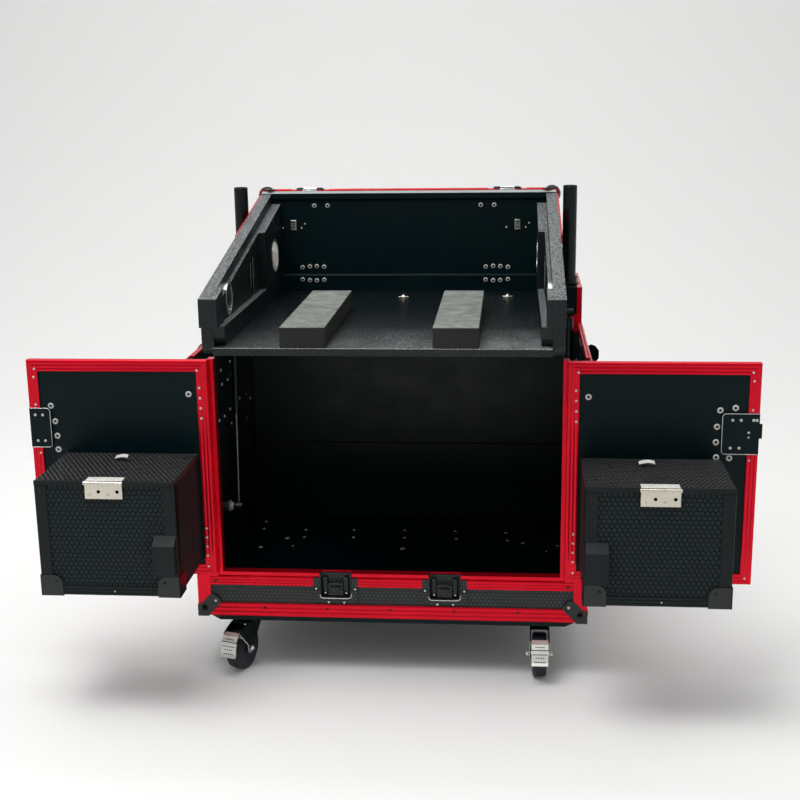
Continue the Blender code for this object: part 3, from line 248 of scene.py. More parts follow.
def place(points, origin, right, up):
    """Carry local (x, y, z) points to an origin with its own right, up and outward directions."""
    right, up = unit(right), unit(up)
    outward = np.cross(right, up)
    points = np.asarray(points, float)
    return origin + points[:, :1] * right + points[:, 1:2] * up + points[:, 2:3] * outward


def skin(rings, closed=False):
    """Join equal rings of points into a surface, with both ends filled unless it is closed.

    Each point of the grid makes a face with the next point on its ring and the two on the next.
    """
    rings = np.asarray(rings, float)
    grid = np.arange(rings.shape[0] * rings.shape[1]).reshape(rings.shape[:2])
    here, ahead = grid, np.roll(grid, -1, axis=0)
    if not closed:
        here, ahead = here[:-1], ahead[:-1]
    sides = np.stack([here, np.roll(here, -1, axis=1), np.roll(ahead, -1, axis=1), ahead], axis=2)
    faces = [sides.reshape(-1, 4)]
    if not closed:
        faces += [grid[:1, ::-1], grid[-1:]]
    return rings.reshape(-1, 3), faces


def circle(steps, right, up):
    """Unit circle of points in the plane of two directions."""
    angle = np.arange(steps) * 2 * math.pi / steps
    return np.cos(angle)[:, None] * right + np.sin(angle)[:, None] * up


def turned(profile, steps, origin, axis):
    """Solid of revolution: each (radius, height) becomes a ring of steps points round the axis."""
    origin = np.asarray(origin, float)
    axis = unit(axis)
    side = X if abs(axis[0]) < 0.9 else Y
    right = unit(np.cross(side, axis))
    ring = circle(steps, right, np.cross(axis, right))
    radius, height = np.array(profile, float).T[:, :, None, None]
    return skin(origin + radius * ring + height * axis)


def tube(path, radius, steps=8):
    """Round bar along a path: a circle carried through the points, square to the path."""
    path = np.asarray(path, float)
    heading = np.gradient(path, axis=0)
    heading /= np.linalg.norm(heading, axis=1)[:, None]
    side = (X, Y, Z)[np.abs(heading).max(axis=0).argmin()]
    right = np.cross(side, heading)
    right /= np.linalg.norm(right, axis=1)[:, None]
    up = np.cross(heading, right)
    return skin(path[:, None] + radius * circle(steps, right[:, None], up[:, None]))


def rolled_ring(centre, facing, radius, thick, steps=24):
    """Ring: a small circle turned about an axis at a radius."""
    profile = [(radius + thick * math.cos(a), thick * math.sin(a))
               for a in np.linspace(-math.pi / 2, 1.5 * math.pi, 9)]
    return turned(profile, steps, centre, facing)


def plate(outline, thick, origin, right, up, chamfer):
    """Flat outline given a thickness outward, with its outer edge drawn in by the chamfer."""
    outline = np.asarray(outline, float)
    centre = outline.mean(axis=0)
    reach = np.abs(outline - centre).max()
    inner = centre + (outline - centre) * (1 - chamfer / reach)
    rings = []
    for flat, height in ((outline, 0.0), (outline, thick - chamfer), (inner, thick)):
        points = np.column_stack([flat, np.full(len(flat), height)])
        rings.append(place(points, origin, right, up))
    return skin(rings)


def corner_turns(shares):
    """Angles and signs of a rectangle's four corners, at shares of each one's quarter turn."""
    shares = np.asarray(shares, float)
    angle = math.pi / 2 * (np.arange(4)[:, None] + shares).ravel()
    return angle, np.repeat(((1, 1), (-1, 1), (-1, -1), (1, -1)), len(shares), axis=0)


def rounded(half_x, half_y, radius, steps=4):
    """Outline of a rectangle with a quarter circle at each corner, anticlockwise."""
    angle, signs = corner_turns(np.arange(steps + 1) / steps)
    arc = np.stack([np.cos(angle), np.sin(angle)], axis=1)
    return signs * (np.array((half_x, half_y)) - radius) + radius * arc


def brick(lowest, highest, radius):
    """Box whose edges are rounded: a sphere grid pushed out to the box's corners."""
    lowest, highest = np.asarray(lowest, float), np.asarray(highest, float)
    half, middle = (highest - lowest) / 2 - radius, (highest + lowest) / 2
    level = np.array((-1, -0.92, -0.38, 0.38, 0.92, 1))[:, None]
    angle, signs = corner_turns((0.12, 0.5, 0.88))
    reach = radius * np.cos(np.arcsin(level))
    rings = np.empty((len(level), len(angle), 3))
    rings[:, :, 0] = signs[:, 0] * half[0] + reach * np.cos(angle)
    rings[:, :, 1] = signs[:, 1] * half[1] + reach * np.sin(angle)
    rings[:, :, 2] = np.sign(level) * half[2] + radius * level
    return skin(middle + rings)


def ribbed(start, end, across, outward, width, grooves, depth, slant=(0.0, 0.0)):
    """Bar of low rounded bands with thin grooves between them, carried from start to end.

    Each end is cut at its own slant, the distance that it steps along the bar per distance across.
    """
    start, end = np.asarray(start, float), np.asarray(end, float)
    along = unit(end - start)
    sunk = -0.0002
    band = np.array(((0.0, 0.25), (0.12, 0.7), (0.32, 0.96), (0.68, 1.0), (0.88, 0.72)))
    steps = np.repeat(np.arange(grooves + 1), len(band))
    bands = np.tile(band, (grooves + 1, 1))
    bands = np.column_stack([(steps + bands[:, 0]) * width / (grooves + 1), bands[:, 1] * depth])
    section = np.vstack([(0.0, sunk), bands, (width, 0.25 * depth), (width, sunk)])
    if np.dot(np.cross(across, outward), along) > 0:
        section = section[::-1]
    rings = []
    for point, cut in ((start, slant[0]), (end, slant[1])):
        rings.append(point + section[:, :1] * across + section[:, 1:] * outward
                     + section[:, :1] * cut * along)
    return skin(rings)


def ribs_round(corners, inward, outward, width, grooves, depth, gaps=(), closed=True):
    """Ribbed bars round a frame, mitred where they meet.

    corners go round the outer edge. inward holds each bar's direction across, gaps holds
    (bar, start, end) stretches that are left out.
    """
    shapes = []
    count = len(corners)
    bars = count if closed else count - 1
    for k in range(bars):
        start, end = np.array(corners[k], float), np.array(corners[(k + 1) % count], float)
        length = np.linalg.norm(end - start)
        along = (end - start) / length
        first = 1.0 if closed or k > 0 else 0.0
        last = -1.0 if closed or k < bars - 1 else 0.0
        spans, begin, slant = [], 0.0, first
        for a, b in sorted((a, b) for bar, a, b in gaps if bar == k):
            spans.append((begin, a, slant, 0.0))
            begin, slant = b, 0.0
        spans.append((begin, length, slant, last))
        for a, b, slant_a, slant_b in spans:
            a, b = a + HAIR * abs(slant_a), b - HAIR * abs(slant_b)
            shapes.append(ribbed(start + a * along, start + b * along, inward[k], outward, width,
                                 grooves, depth, (slant_a, slant_b)))
    return shapes


def screw(point, outward, radius):
    """Screw head: a low dome with a rolled edge round a sunk middle."""
    tall = radius * 0.45
    profile = [(radius, -0.0004), (radius, tall * 0.35), (radius * 0.86, tall * 0.75),
               (radius * 0.5, tall), (radius * 0.3, tall), (radius * 0.24, tall * 0.5)]
    return turned(profile, 14, point, outward)


def cup_washer(point, outward, radius):
    """Countersunk washer: a raised ring with a rolled edge."""
    profile = [(radius, -0.0005), (radius, 0.0006), (radius * 0.9, 0.0013), (radius * 0.72, 0.0017),
               (radius * 0.5, 0.0012), (radius * 0.42, 0.0004)]
    return turned(profile, 22, point, outward)


def piece(name, body, material, shapes, replaces=()):
    """Make one object of several shapes, and have it ride on a body."""
    points, faces, start = [], [], 0
    for verts, groups in shapes:
        points.append(verts)
        for group in groups:
            faces += (group + start).tolist()
        start += len(verts)
    mesh = bpy.data.meshes.new(name)
    mesh.from_pydata(np.vstack(points).tolist(), [], faces)
    mesh.validate()
    mesh.materials.append(material)
    mesh.shade_smooth()
    mesh.set_sharp_from_angle(angle=math.radians(30))
    obj = bpy.data.objects.new(name, mesh)
    bpy.context.scene.collection.objects.link(obj)
    turn_outward(mesh)
    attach(obj, body)
    if replaces:
        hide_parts(*replaces)
    return obj


def turn_outward(mesh):
    """Make every face of a closed mesh look outward."""
    grid = bmesh.new()
    grid.from_mesh(mesh)
    bmesh.ops.recalc_face_normals(grid, faces=grid.faces)
    grid.to_mesh(mesh)
    grid.free()


# Materials

def linear(colour):
    """Linear RGBA of an sRGB colour, given as hex or as the three shares that a setting holds."""
    shares = srgb(colour) if isinstance(colour, str) else colour
    values = [c / 12.92 if c <= 0.04045 else ((c + 0.055) / 1.055) ** 2.4 for c in shares]
    return (*values, 1.0)


def tinted(colour, factor):
    """Linear colour made darker or lighter by a factor."""
    return tuple([c * factor for c in colour[:3]] + [1.0])


def add_node(tree, kind, inputs=(), output=0, **settings):
    """Add a node with its settings, set or link its inputs, and give back one of its outputs."""
    node = tree.nodes.new("ShaderNode" + kind)
    for key, value in settings.items():
        setattr(node, key, value)
    for target, source in dict(inputs).items():
        if isinstance(source, bpy.types.NodeSocket):
            tree.links.new(source, node.inputs[target])
        else:
            node.inputs[target].default_value = source
    return node.outputs[output]


def new_material(name, roughness, metallic=0.0, **sockets):
    """Principled material, with its node tree and shader."""
    material = bpy.data.materials.new(name)
    material.use_nodes = True
    shader = material.node_tree.nodes["Principled BSDF"]
    shader.inputs["Roughness"].default_value = roughness
    shader.inputs["Metallic"].default_value = metallic
    for key, value in sockets.items():
        shader.inputs[key.replace("_", " ")].default_value = value
    return material, material.node_tree, shader


def cloudy_roughness(tree, shader, cloud, lowest, highest):
    """Make the surface smoother and rougher in clouds, so that no highlight is even."""
    rough = add_node(tree, "MapRange", {0: cloud, 1: 0.3, 2: 0.7, 3: lowest, 4: highest})
    tree.links.new(rough, shader.inputs["Roughness"])


def raise_surface(tree, shader, height, distance, edge=0.0007):
    """Bump the surface by a height, over edges that are rounded a little."""
    rounded_edge = add_node(tree, "Bevel", {"Radius": edge}, samples=4)
    bump = add_node(tree, "Bump", {"Height": height, "Normal": rounded_edge, "Distance": distance,
                                   "Strength": 1.0})
    tree.links.new(bump, shader.inputs["Normal"])


def upward_share(tree):
    """How much a surface looks upward: 0 on a wall, 1 on a level top."""
    normal = add_node(tree, "TexCoord", output="Normal")
    upward = add_node(tree, "SeparateXYZ", {0: normal}, "Z")
    return add_node(tree, "MapRange", {0: upward, 1: 0.3, 2: 0.8})


def anodised(name, colour):
    """Anodised extrusion: deep dyed metal under a clear seal, which whitens at a low angle."""
    material, tree, shader = new_material(name, 0.38, 0.72, Coat_Weight=0.25, Coat_Roughness=0.2,
                                          Coat_IOR=1.4, Specular_IOR_Level=0.3)
    point = add_node(tree, "TexCoord", output="Object")
    # The dye lies in clouds 110 mm wide and the seal in clouds 70 mm wide. The lines of the die
    # are too fine to show, so they are drawn 1.1 mm wide.
    dye = add_node(tree, "TexNoise", {"Vector": point, "Scale": 9.0, "Detail": 4.0})
    seal = add_node(tree, "TexNoise", {"Vector": point, "Scale": 14.0, "Detail": 4.0})
    lines = add_node(tree, "TexNoise", {"Vector": point, "Scale": 900.0, "Detail": 2.0})
    colour = linear(colour)
    dyed = add_node(tree, "Mix", {0: dye, 6: tinted(colour, 0.74), 7: tinted(colour, 1.12)}, 2,
                    data_type="RGBA")
    tree.links.new(dyed, shader.inputs["Base Color"])
    cloudy_roughness(tree, shader, seal, 0.27, 0.42)
    raise_surface(tree, shader, lines, 0.00001)
    return material


def flat_point(tree, point, normal):
    """Place on a flat face: across and up on a wall, across and back on a level face."""
    back = add_node(tree, "SeparateXYZ", {0: point}, "Y")
    parts = {}
    for index, axis in enumerate("XZ"):
        facing = add_node(tree, "SeparateXYZ", {0: normal}, axis)
        size = add_node(tree, "Math", {0: facing}, operation="ABSOLUTE")
        faces_it = add_node(tree, "Math", {0: size, 1: 0.7}, operation="GREATER_THAN")
        along = add_node(tree, "SeparateXYZ", {0: point}, axis)
        parts[index] = add_node(tree, "Mix", {0: faces_it, 2: along, 3: back}, data_type="FLOAT")
    return add_node(tree, "CombineXYZ", parts)


def hexagon_distance(tree, flat, pitch):
    """Distance to the middle of the nearest hexagon: the smaller one of two shifted grids.

    In a cell it is the larger of |x| and of the distance along the hexagon's slanting side.
    """
    tall = math.sqrt(3)
    grids = {}
    for index, shift in enumerate((0.0, 0.5)):
        cell = flat
        for operation, by in (("DIVIDE", (pitch, pitch * tall, 1.0)), ("ADD", (shift, shift, 0.0)),
                              ("FRACTION", None), ("SUBTRACT", (0.5, 0.5, 0.0)),
                              ("MULTIPLY", (1.0, tall, 0.0)), ("ABSOLUTE", None)):
            inputs = {0: cell, 1: by} if by else {0: cell}
            cell = add_node(tree, "VectorMath", inputs, operation=operation)
        slanting = add_node(tree, "VectorMath", {0: cell, 1: (0.5, tall / 2, 0.0)}, "Value",
                            operation="DOT_PRODUCT")
        straight = add_node(tree, "SeparateXYZ", {0: cell}, "X")
        grids[index] = add_node(tree, "Math", {0: slanting, 1: straight}, operation="MAXIMUM")
    return add_node(tree, "Math", grids, operation="MINIMUM")


def laminate(name, colour, pitch, relief, roughness, specular=0.35, centre=None, net_paint=None,
             wide=0.37):
    """Film-faced plywood: a hexagon net pressed into the film, which catches light on its raised net.

    With a centre, only the faces that look away from it have the net. The net is painted: in the
    given colour as a painted highlight, else in the film's own colour made dark as painted shade.
    The net starts this wide from a hexagon's middle.
    """
    material, tree, shader = new_material(name, roughness, 0.0, IOR=1.5,
                                          Specular_IOR_Level=specular)
    point = add_node(tree, "TexCoord", output="Object")
    normal = add_node(tree, "TexCoord", output="Normal")
    nearest = hexagon_distance(tree, flat_point(tree, point, normal), pitch)
    net = add_node(tree, "MapRange", {0: nearest, 1: wide, 2: wide + 0.085})
    if centre is not None:
        reach = add_node(tree, "VectorMath", {0: point, 1: centre}, operation="SUBTRACT")
        facing = add_node(tree, "VectorMath", {0: reach, 1: normal}, "Value",
                          operation="DOT_PRODUCT")
        outer = add_node(tree, "Math", {0: facing, 1: 0.0}, operation="GREATER_THAN")
        net = add_node(tree, "Math", {0: net, 1: outer}, operation="MULTIPLY")
    # The film shines in clouds 70 mm wide. The fibres of its paper are too fine to show, so they
    # are drawn 0.7 mm wide.
    cloud = add_node(tree, "TexNoise", {"Vector": point, "Scale": 14.0, "Detail": 4.0})
    fibres = add_node(tree, "TexNoise", {"Vector": point, "Scale": 1400.0, "Detail": 2.0})
    colour = linear(colour)
    film = add_node(tree, "Mix", {0: cloud, 6: tinted(colour, 0.85), 7: tinted(colour, 1.2)}, 2,
                    data_type="RGBA")
    # Colour of the net: a painted highlight when given, else painted shade
    net_paint_colour = linear(net_paint) if net_paint else tinted(colour, 0.12)
    pressed = add_node(tree, "Mix", {0: net, 6: film, 7: net_paint_colour}, 2, data_type="RGBA")
    tree.links.new(pressed, shader.inputs["Base Color"])
    cloudy_roughness(tree, shader, cloud, roughness - 0.05, roughness + 0.06)
    grain = add_node(tree, "MapRange", {0: fibres, 4: 0.12})
    height = add_node(tree, "Math", {0: net, 1: grain}, operation="SUBTRACT")
    raise_surface(tree, shader, height, relief)
    return material


def grained(name, colour, roughness, scale, relief, upward_paint, specular, front=None):
    """Vinyl with a leather grain: small rounded cells between creases, with a soft sheen.

    The upward faces take their own colour, made paler: a painted sheen where they catch the light.
    With a front, the upward faces also get pale speckles from there back, more so on the right:
    a painted sheen.
    """
    material, tree, shader = new_material(name, roughness, 0.0, IOR=1.5,
                                          Specular_IOR_Level=specular)
    point = add_node(tree, "TexCoord", output="Object")
    cells = add_node(tree, "TexVoronoi", {"Vector": point, "Scale": scale}, "Distance",
                     feature="F1")
    fine = add_node(tree, "TexNoise", {"Vector": point, "Scale": scale * 1.7, "Detail": 3.0})
    rough = add_node(tree, "TexNoise", {"Vector": point, "Scale": scale * 0.85, "Detail": 3.0})
    mottle = add_node(tree, "MapRange", {0: rough, 1: 0.46, 2: 0.62})
    colour, upward_paint = linear(colour), linear(upward_paint)
    side_tone = add_node(tree, "Mix", {0: mottle, 6: tinted(colour, 0.55), 7: tinted(colour, 2.1)}, 2,
                     data_type="RGBA")
    # Upward faces: a paler painted sheen where they catch the light
    upward_tone = add_node(tree, "Mix", {0: mottle, 6: tinted(upward_paint, 0.25), 7: tinted(upward_paint, 2.6)}, 2,
                      data_type="RGBA")
    upward = upward_share(tree)
    colours = add_node(tree, "Mix", {0: upward, 6: side_tone, 7: upward_tone}, 2, data_type="RGBA")
    if front is not None:
        share = add_node(tree, "Math", {0: painted_sheen_share(tree, point, front), 1: upward},
                         operation="MULTIPLY")
        # Pale speckles on the upward faces near the front: painted sheen
        sheen_speckle = add_node(tree, "Mix", {0: mottle, 6: linear("#333B3B"), 7: linear("#C7CCCC")}, 2,
                          data_type="RGBA")
        colours = add_node(tree, "Mix", {0: share, 6: colours, 7: sheen_speckle}, 2, data_type="RGBA")
    tree.links.new(colours, shader.inputs["Base Color"])
    sheen = add_node(tree, "MapRange", {0: mottle, 3: roughness + 0.14, 4: roughness - 0.10})
    tree.links.new(sheen, shader.inputs["Roughness"])
    height = add_node(tree, "Math", {0: fine, 1: cells}, operation="SUBTRACT")
    raise_surface(tree, shader, height, relief)
    return material


def painted_sheen_share(tree, point, front):
    """Share of painted sheen: most at the front and on the right, in clouds 90 mm wide."""
    back = add_node(tree, "SeparateXYZ", {0: point}, "Y")
    across = add_node(tree, "SeparateXYZ", {0: point}, "X")
    ahead = add_node(tree, "MapRange", {0: back, 1: front, 2: front + 0.26, 3: 0.75, 4: 0.0})
    sideways = add_node(tree, "MapRange", {0: across, 1: -0.45, 2: 0.30, 3: 0.15, 4: 1.0})
    cloud = add_node(tree, "TexNoise", {"Vector": point, "Scale": 11.0, "Detail": 5.0})
    clouds = add_node(tree, "MapRange", {0: cloud, 1: 0.30, 2: 0.62, 3: 0.35, 4: 1.0})
    region = add_node(tree, "Math", {0: ahead, 1: sideways}, operation="MULTIPLY")
    return add_node(tree, "Math", {0: region, 1: clouds}, operation="MULTIPLY")


def foam(name, colour):
    """Closed-cell foam: matt and pored, with paler upward faces and much darker sides."""
    material, tree, shader = new_material(name, 0.85, 0.0, IOR=1.45, Specular_IOR_Level=0.3)
    point = add_node(tree, "TexCoord", output="Object")
    # Hands have rubbed the top in clouds 60 mm wide. The pores are drawn 1.4 mm wide, a little
    # wider than real ones, to show.
    warped = add_node(tree, "TexNoise", {"Vector": point, "Scale": 16.0, "Detail": 5.0,
                                         "Distortion": 1.6})
    pores = add_node(tree, "TexNoise", {"Vector": point, "Scale": 700.0, "Detail": 3.0})
    cloud = add_node(tree, "MapRange", {0: warped, 1: 0.35, 2: 0.65})
    colour = linear(colour)
    upward_tone = add_node(tree, "Mix", {0: cloud, 6: tinted(colour, 0.75), 7: tinted(colour, 1.3)}, 2,
                      data_type="RGBA")
    colours = add_node(tree, "Mix", {0: upward_share(tree), 6: tinted(colour, 0.13), 7: upward_tone}, 2,
                       data_type="RGBA")
    tree.links.new(colours, shader.inputs["Base Color"])
    raise_surface(tree, shader, pores, 0.0003, edge=0.0015)
    return material


def metal(name, colour, roughness):
    """Plated or coated steel: even colour, cloudy roughness and fine rubbed lines."""
    material, tree, shader = new_material(name, roughness, 1.0)
    point = add_node(tree, "TexCoord", output="Object")
    # Crystals of the plating in clouds 17 mm wide, and rubbed lines drawn 2 mm wide to show
    cloud = add_node(tree, "TexNoise", {"Vector": point, "Scale": 60.0, "Detail": 4.0})
    lines = add_node(tree, "TexNoise", {"Vector": point, "Scale": 500.0, "Detail": 2.0})
    colour = linear(colour)
    plated = add_node(tree, "Mix", {0: cloud, 6: tinted(colour, 0.88), 7: tinted(colour, 1.06)}, 2,
                      data_type="RGBA")
    tree.links.new(plated, shader.inputs["Base Color"])
    cloudy_roughness(tree, shader, cloud, roughness - 0.06, roughness + 0.08)
    raise_surface(tree, shader, lines, 0.00003, edge=0.0004)
    return material


def coating(name, colour, roughness, relief=0.00004, specular=0.5):
    """Plastic, rubber, powder coat or smooth film: a fine skin that breaks up the highlight."""
    material, tree, shader = new_material(name, roughness, 0.0, IOR=1.5,
                                          Specular_IOR_Level=specular)
    point = add_node(tree, "TexCoord", output="Object")
    # Clouds 29 mm wide, and a grain that is too fine to show and is drawn 0.9 mm wide
    cloud = add_node(tree, "TexNoise", {"Vector": point, "Scale": 35.0, "Detail": 4.0})
    grain = add_node(tree, "TexNoise", {"Vector": point, "Scale": 1100.0, "Detail": 2.0})
    colour = linear(colour)
    coated = add_node(tree, "Mix", {0: cloud, 6: tinted(colour, 0.82), 7: tinted(colour, 1.2)}, 2,
                      data_type="RGBA")
    tree.links.new(coated, shader.inputs["Base Color"])
    cloudy_roughness(tree, shader, cloud, roughness - 0.05, roughness + 0.05)
    raise_surface(tree, shader, grain, relief)
    return material


LOOKS = {}


def make_laminates(settings):
    """Films on the plywood and the vinyl on the tray."""
    black, pitch = tuple(settings.laminate), settings.hex_pitch
    # Matt hexagons on the storage boxes with painted shade in the net, on a film made paler as a
    # painted sheen
    paler = [0.09 + 0.75 * value for value in black]
    LOOKS["hex"] = laminate("hexagon_embossed_laminate", paler, pitch, relief=0.0018,
                            roughness=0.52, specular=0.14)
    # The same net on the cabinet's walls, on their outer faces alone, with painted shade in the net
    LOOKS["wall"] = laminate("hexagon_embossed_wall", black, pitch, relief=0.0013, roughness=0.38,
                             specular=0.3, centre=(0.0, (FRONT + BACK) / 2, 0.5))
    # Painted highlights: thin pale ridges on the box lids, where the ridges would catch the light
    LOOKS["lid"] = laminate("glossy_embossed_laminate", tinted(black, 0.2)[:3], pitch,
                            relief=0.0016, roughness=0.30, specular=0.12, net_paint="#808282", wide=0.405)
    # Speckled grey band under the doors, with painted shade in its net
    LOOKS["band"] = laminate("speckled_grey_laminate", "#373C3D", pitch * 0.85,
                             relief=0.0005, roughness=0.5)
    # Smooth blue-black film that mirrors the studio softly
    LOOKS["inner"] = coating("smooth_black_laminate", "#00161A", 0.40, 0.00003, 0.16)
    # Leather grain 3.7 mm wide: a grey painted sheen on the rims of the cheeks, black below
    LOOKS["vinyl"] = grained("leather_grain_vinyl", "#000F11", 0.36, 270.0, 0.0006, "#5E6263",
                             0.45)
    # Grain 3 mm wide on the tray's floor, with a pale painted sheen near its front
    LOOKS["floor"] = grained("grained_floor_laminate", "#000A0E", 0.26, 330.0, 0.0003, "#000A0E",
                             0.5, low("tray_floor")[1])


def make_coatings():
    """Black plastics, rubber and paint, and the pale plating that shows as white dots."""
    # Satin black edge profiles
    LOOKS["black_profile"] = coating("black_anodised_extrusion", "#000F11", 0.34, 0.00004, 0.25)
    # Glossy moulded corners, with a clear highlight
    LOOKS["plastic"] = coating("moulded_nylon", "#000B0D", 0.22, 0.00003, 0.5)
    # Satin paint on the latches, posts and forks
    LOOKS["steel"] = coating("black_powder_coat", "#000D0F", 0.28, 0.00004, 0.4)
    # Dull grey-black wheels and buffers
    LOOKS["rubber"] = coating("moulded_rubber", "#0A1718", 0.6, 0.0001, 0.3)
    # Slightly blue tread, smoother than its wheel
    LOOKS["tread"] = coating("polyurethane_tread", "#081321", 0.40, 0.00005)
    # Screws and washers that stay pale from every side
    LOOKS["pale_zinc"] = coating("pale_zinc_plate", "#D6D6D1", 0.35)
    # Painted highlight: pale line along the tray's rear rim, where the rim catches the light
    LOOKS["pale_trim"] = coating("pale_aluminium_trim", "#99A19E", 0.35)
    # Painted shade: dark fill that stands for the shade inside holes and slots
    LOOKS["dark_hole"] = coating("dark_recess", "#030404", 0.8, 0.00002, 0.1)


def make_metals():
    """Bare and plated steels."""
    # Warm dull plating of the hinges and fittings
    LOOKS["zinc"] = metal("zinc_plated_steel", "#E0DBCC", 0.38)
    # Clean bright steel of the nuts, port edges and plate rims
    LOOKS["bright"] = metal("bright_bolt_steel", "#F7F7F5", 0.30)
    # Satin pressed pedals
    LOOKS["pressed"] = metal("pressed_plated_steel", "#F5F5F0", 0.48)
    # Grey ground rods of the gas springs
    LOOKS["rod"] = metal("ground_spring_rod", "#737578", 0.30)


def both(*stems):
    """Names of left and right nodes."""
    return [stem + "_" + word for stem in stems for _, word in SIDES]


def each_corner(stem):
    """Names of a castor part's four nodes."""
    return [stem + "_" + corner for corner in CORNERS]


def make_looks(settings):
    """Make every material, and give the solids theirs."""
    # Deep red that turns paler where it faces the light at a low angle
    LOOKS["red"] = anodised("red_anodised_extrusion", settings.red)
    make_laminates(settings)
    # Grey foam with cloudy pale tops and much darker sides
    LOOKS["foam"] = foam("grey_foam", settings.foam)
    make_coatings()
    make_metals()
    nodes = {
        "red": ["base_frame", "opening_frame", "top_frame", "shell_frame"] + both("door_frame"),
        "wall": ["back_wall"] + both("side_wall"),
        "hex": both("storage_box"),
        "lid": both("box_lid"),
        "band": ["front_panel"],
        "inner": ["rear_panel", "castor_board"] + both("door_panel", "tower"),
        "vinyl": both("cheek"),
        "floor": ["tray_floor"],
        "foam": both("foam"),
        "plastic": both("shell_corner", "ball_corner_front", "ball_corner_rear"),
        "steel": ["centre_latch"] + each_corner("fork")
        + both("post", "spring_tube", "side_latch", "shell_latch", "door_latch"),
        "rubber": both("box_buffer") + each_corner("wheel"),
        "zinc": both("lid_hinge"),
        "rod": both("spring_rod"),
        "pressed": each_corner("pedal"),
    }
    for look, names in nodes.items():
        for name in names:
            mesh = frame["nodes"][name].data
            mesh.materials.clear()
            mesh.materials.append(LOOKS[look])


# Ribbed faces of the extrusions

def make_base_ribs(settings):
    """Ribbed faces of the bottom rail and of the corner posts."""
    grooves, depth = settings.grooves, settings.depth
    shapes = []
    for y, outward, ceiling in ((FRONT, -Y, SEAM), (BACK, Y, SEAM - TOP_INSET)):
        shapes.append(ribbed((-HALF + END_GAP, y, BASE), (HALF - END_GAP, y, BASE), Z, outward,
                             RAIL_WIDE, grooves, depth))
        for side in (-1, 1):
            start = (side * HALF, y, BASE + RAIL_WIDE)
            end = (side * HALF, y, ceiling)
            shapes.append(ribbed(start, end, -side * X, outward, POST_WIDE, POST_GROOVES, depth))
            shapes.append(ribbed(start, end, -outward, side * X, POST_WIDE, POST_GROOVES, depth))
    for side in (-1, 1):
        start, end = (side * HALF, FRONT + END_GAP, BASE), (side * HALF, BACK - END_GAP, BASE)
        shapes.append(ribbed(start, end, Z, side * X, RAIL_WIDE, grooves, depth))
    piece("base_frame_ribs", "cabinet", LOOKS["red"], shapes)


def make_top_ribs(settings):
    """Ribbed faces of the rail on the side walls, and of the trims under the towers."""
    depth = settings.depth
    tower = low("tower_left")[1] - TOWER_STEP
    latch = pivot("side_latch_left_twist")[1]
    shapes = []
    for side in (-1, 1):
        edge = side * HALF
        for a, b in ((FRONT + TOP_INSET, latch - LATCH_REACH),
                     (latch + LATCH_REACH, BACK - END_GAP)):
            shapes.append(ribbed((edge, a, SEAM), (edge, b, SEAM), -Z, side * X, TOP_WIDE,
                                 POST_GROOVES, depth))
        shapes.append(ribbed((edge, FRONT + TOP_INSET, SEAM), (edge, tower, SEAM), -side * X, Z,
                             TOP_EDGE_WIDE, 1, depth))
        inner, outer = side * (HALF - TOWER_WIDE), side * (HALF - HAIR)
        for z, width in ((SEAM + 0.0205, 0.0190), (SEAM - 0.0015, 0.0265)):
            shapes.append(ribbed((inner, tower, z), (outer, tower, z), -Z, -Y, width, 2, depth))
    shapes.append(ribbed((-HALF + END_GAP, BACK, SEAM), (HALF - END_GAP, BACK, SEAM), -Z, Y,
                         TOP_WIDE, POST_GROOVES, depth))
    piece("top_frame_ribs", "cabinet", LOOKS["red"], shapes)


def closed_door_gaps():
    """Gaps of a closed door to the opening's face and to the middle of the case."""
    hinge = pivot("door_left_hinge")
    door = low("door_frame_left")
    return FRONT - (2 * hinge[1] - door[1]), -(2 * hinge[0] - door[0])


def make_opening_ribs(settings):
    """Ribbed faces of the jambs and the sill, broken where the catches sit.

    They stay clear of the closed doors.
    """
    depth = min(settings.depth, 0.42 * closed_door_gaps()[0])
    half = high("opening_frame")[0]
    shapes = []
    for side in (-1, 1):
        x = side * (half - HAIR)
        shapes.append(ribbed((x, FRONT, SILL), (x, FRONT, SEAM), -side * X, -Y, JAMB_WIDE,
                             DOOR_GROOVES, depth))
    for a, b in ((-half, -DISH_X - CATCH_REACH), (-DISH_X + CATCH_REACH, DISH_X - CATCH_REACH),
                 (DISH_X + CATCH_REACH, half)):
        z = SILL - RAIL_WIDE
        shapes.append(ribbed((a, FRONT, z), (b, FRONT, z), Z, -Y, JAMB_WIDE, DOOR_GROOVES, depth))
    piece("opening_frame_ribs", "cabinet", LOOKS["red"], shapes)


def door_sides(side, word):
    """A door's box, and where it has its hinge and its free edge across the case."""
    lowest, highest = low("door_frame_" + word), high("door_frame_" + word)
    hinge, free = (lowest[0], highest[0]) if side > 0 else (highest[0], lowest[0])
    return lowest, highest, hinge, free


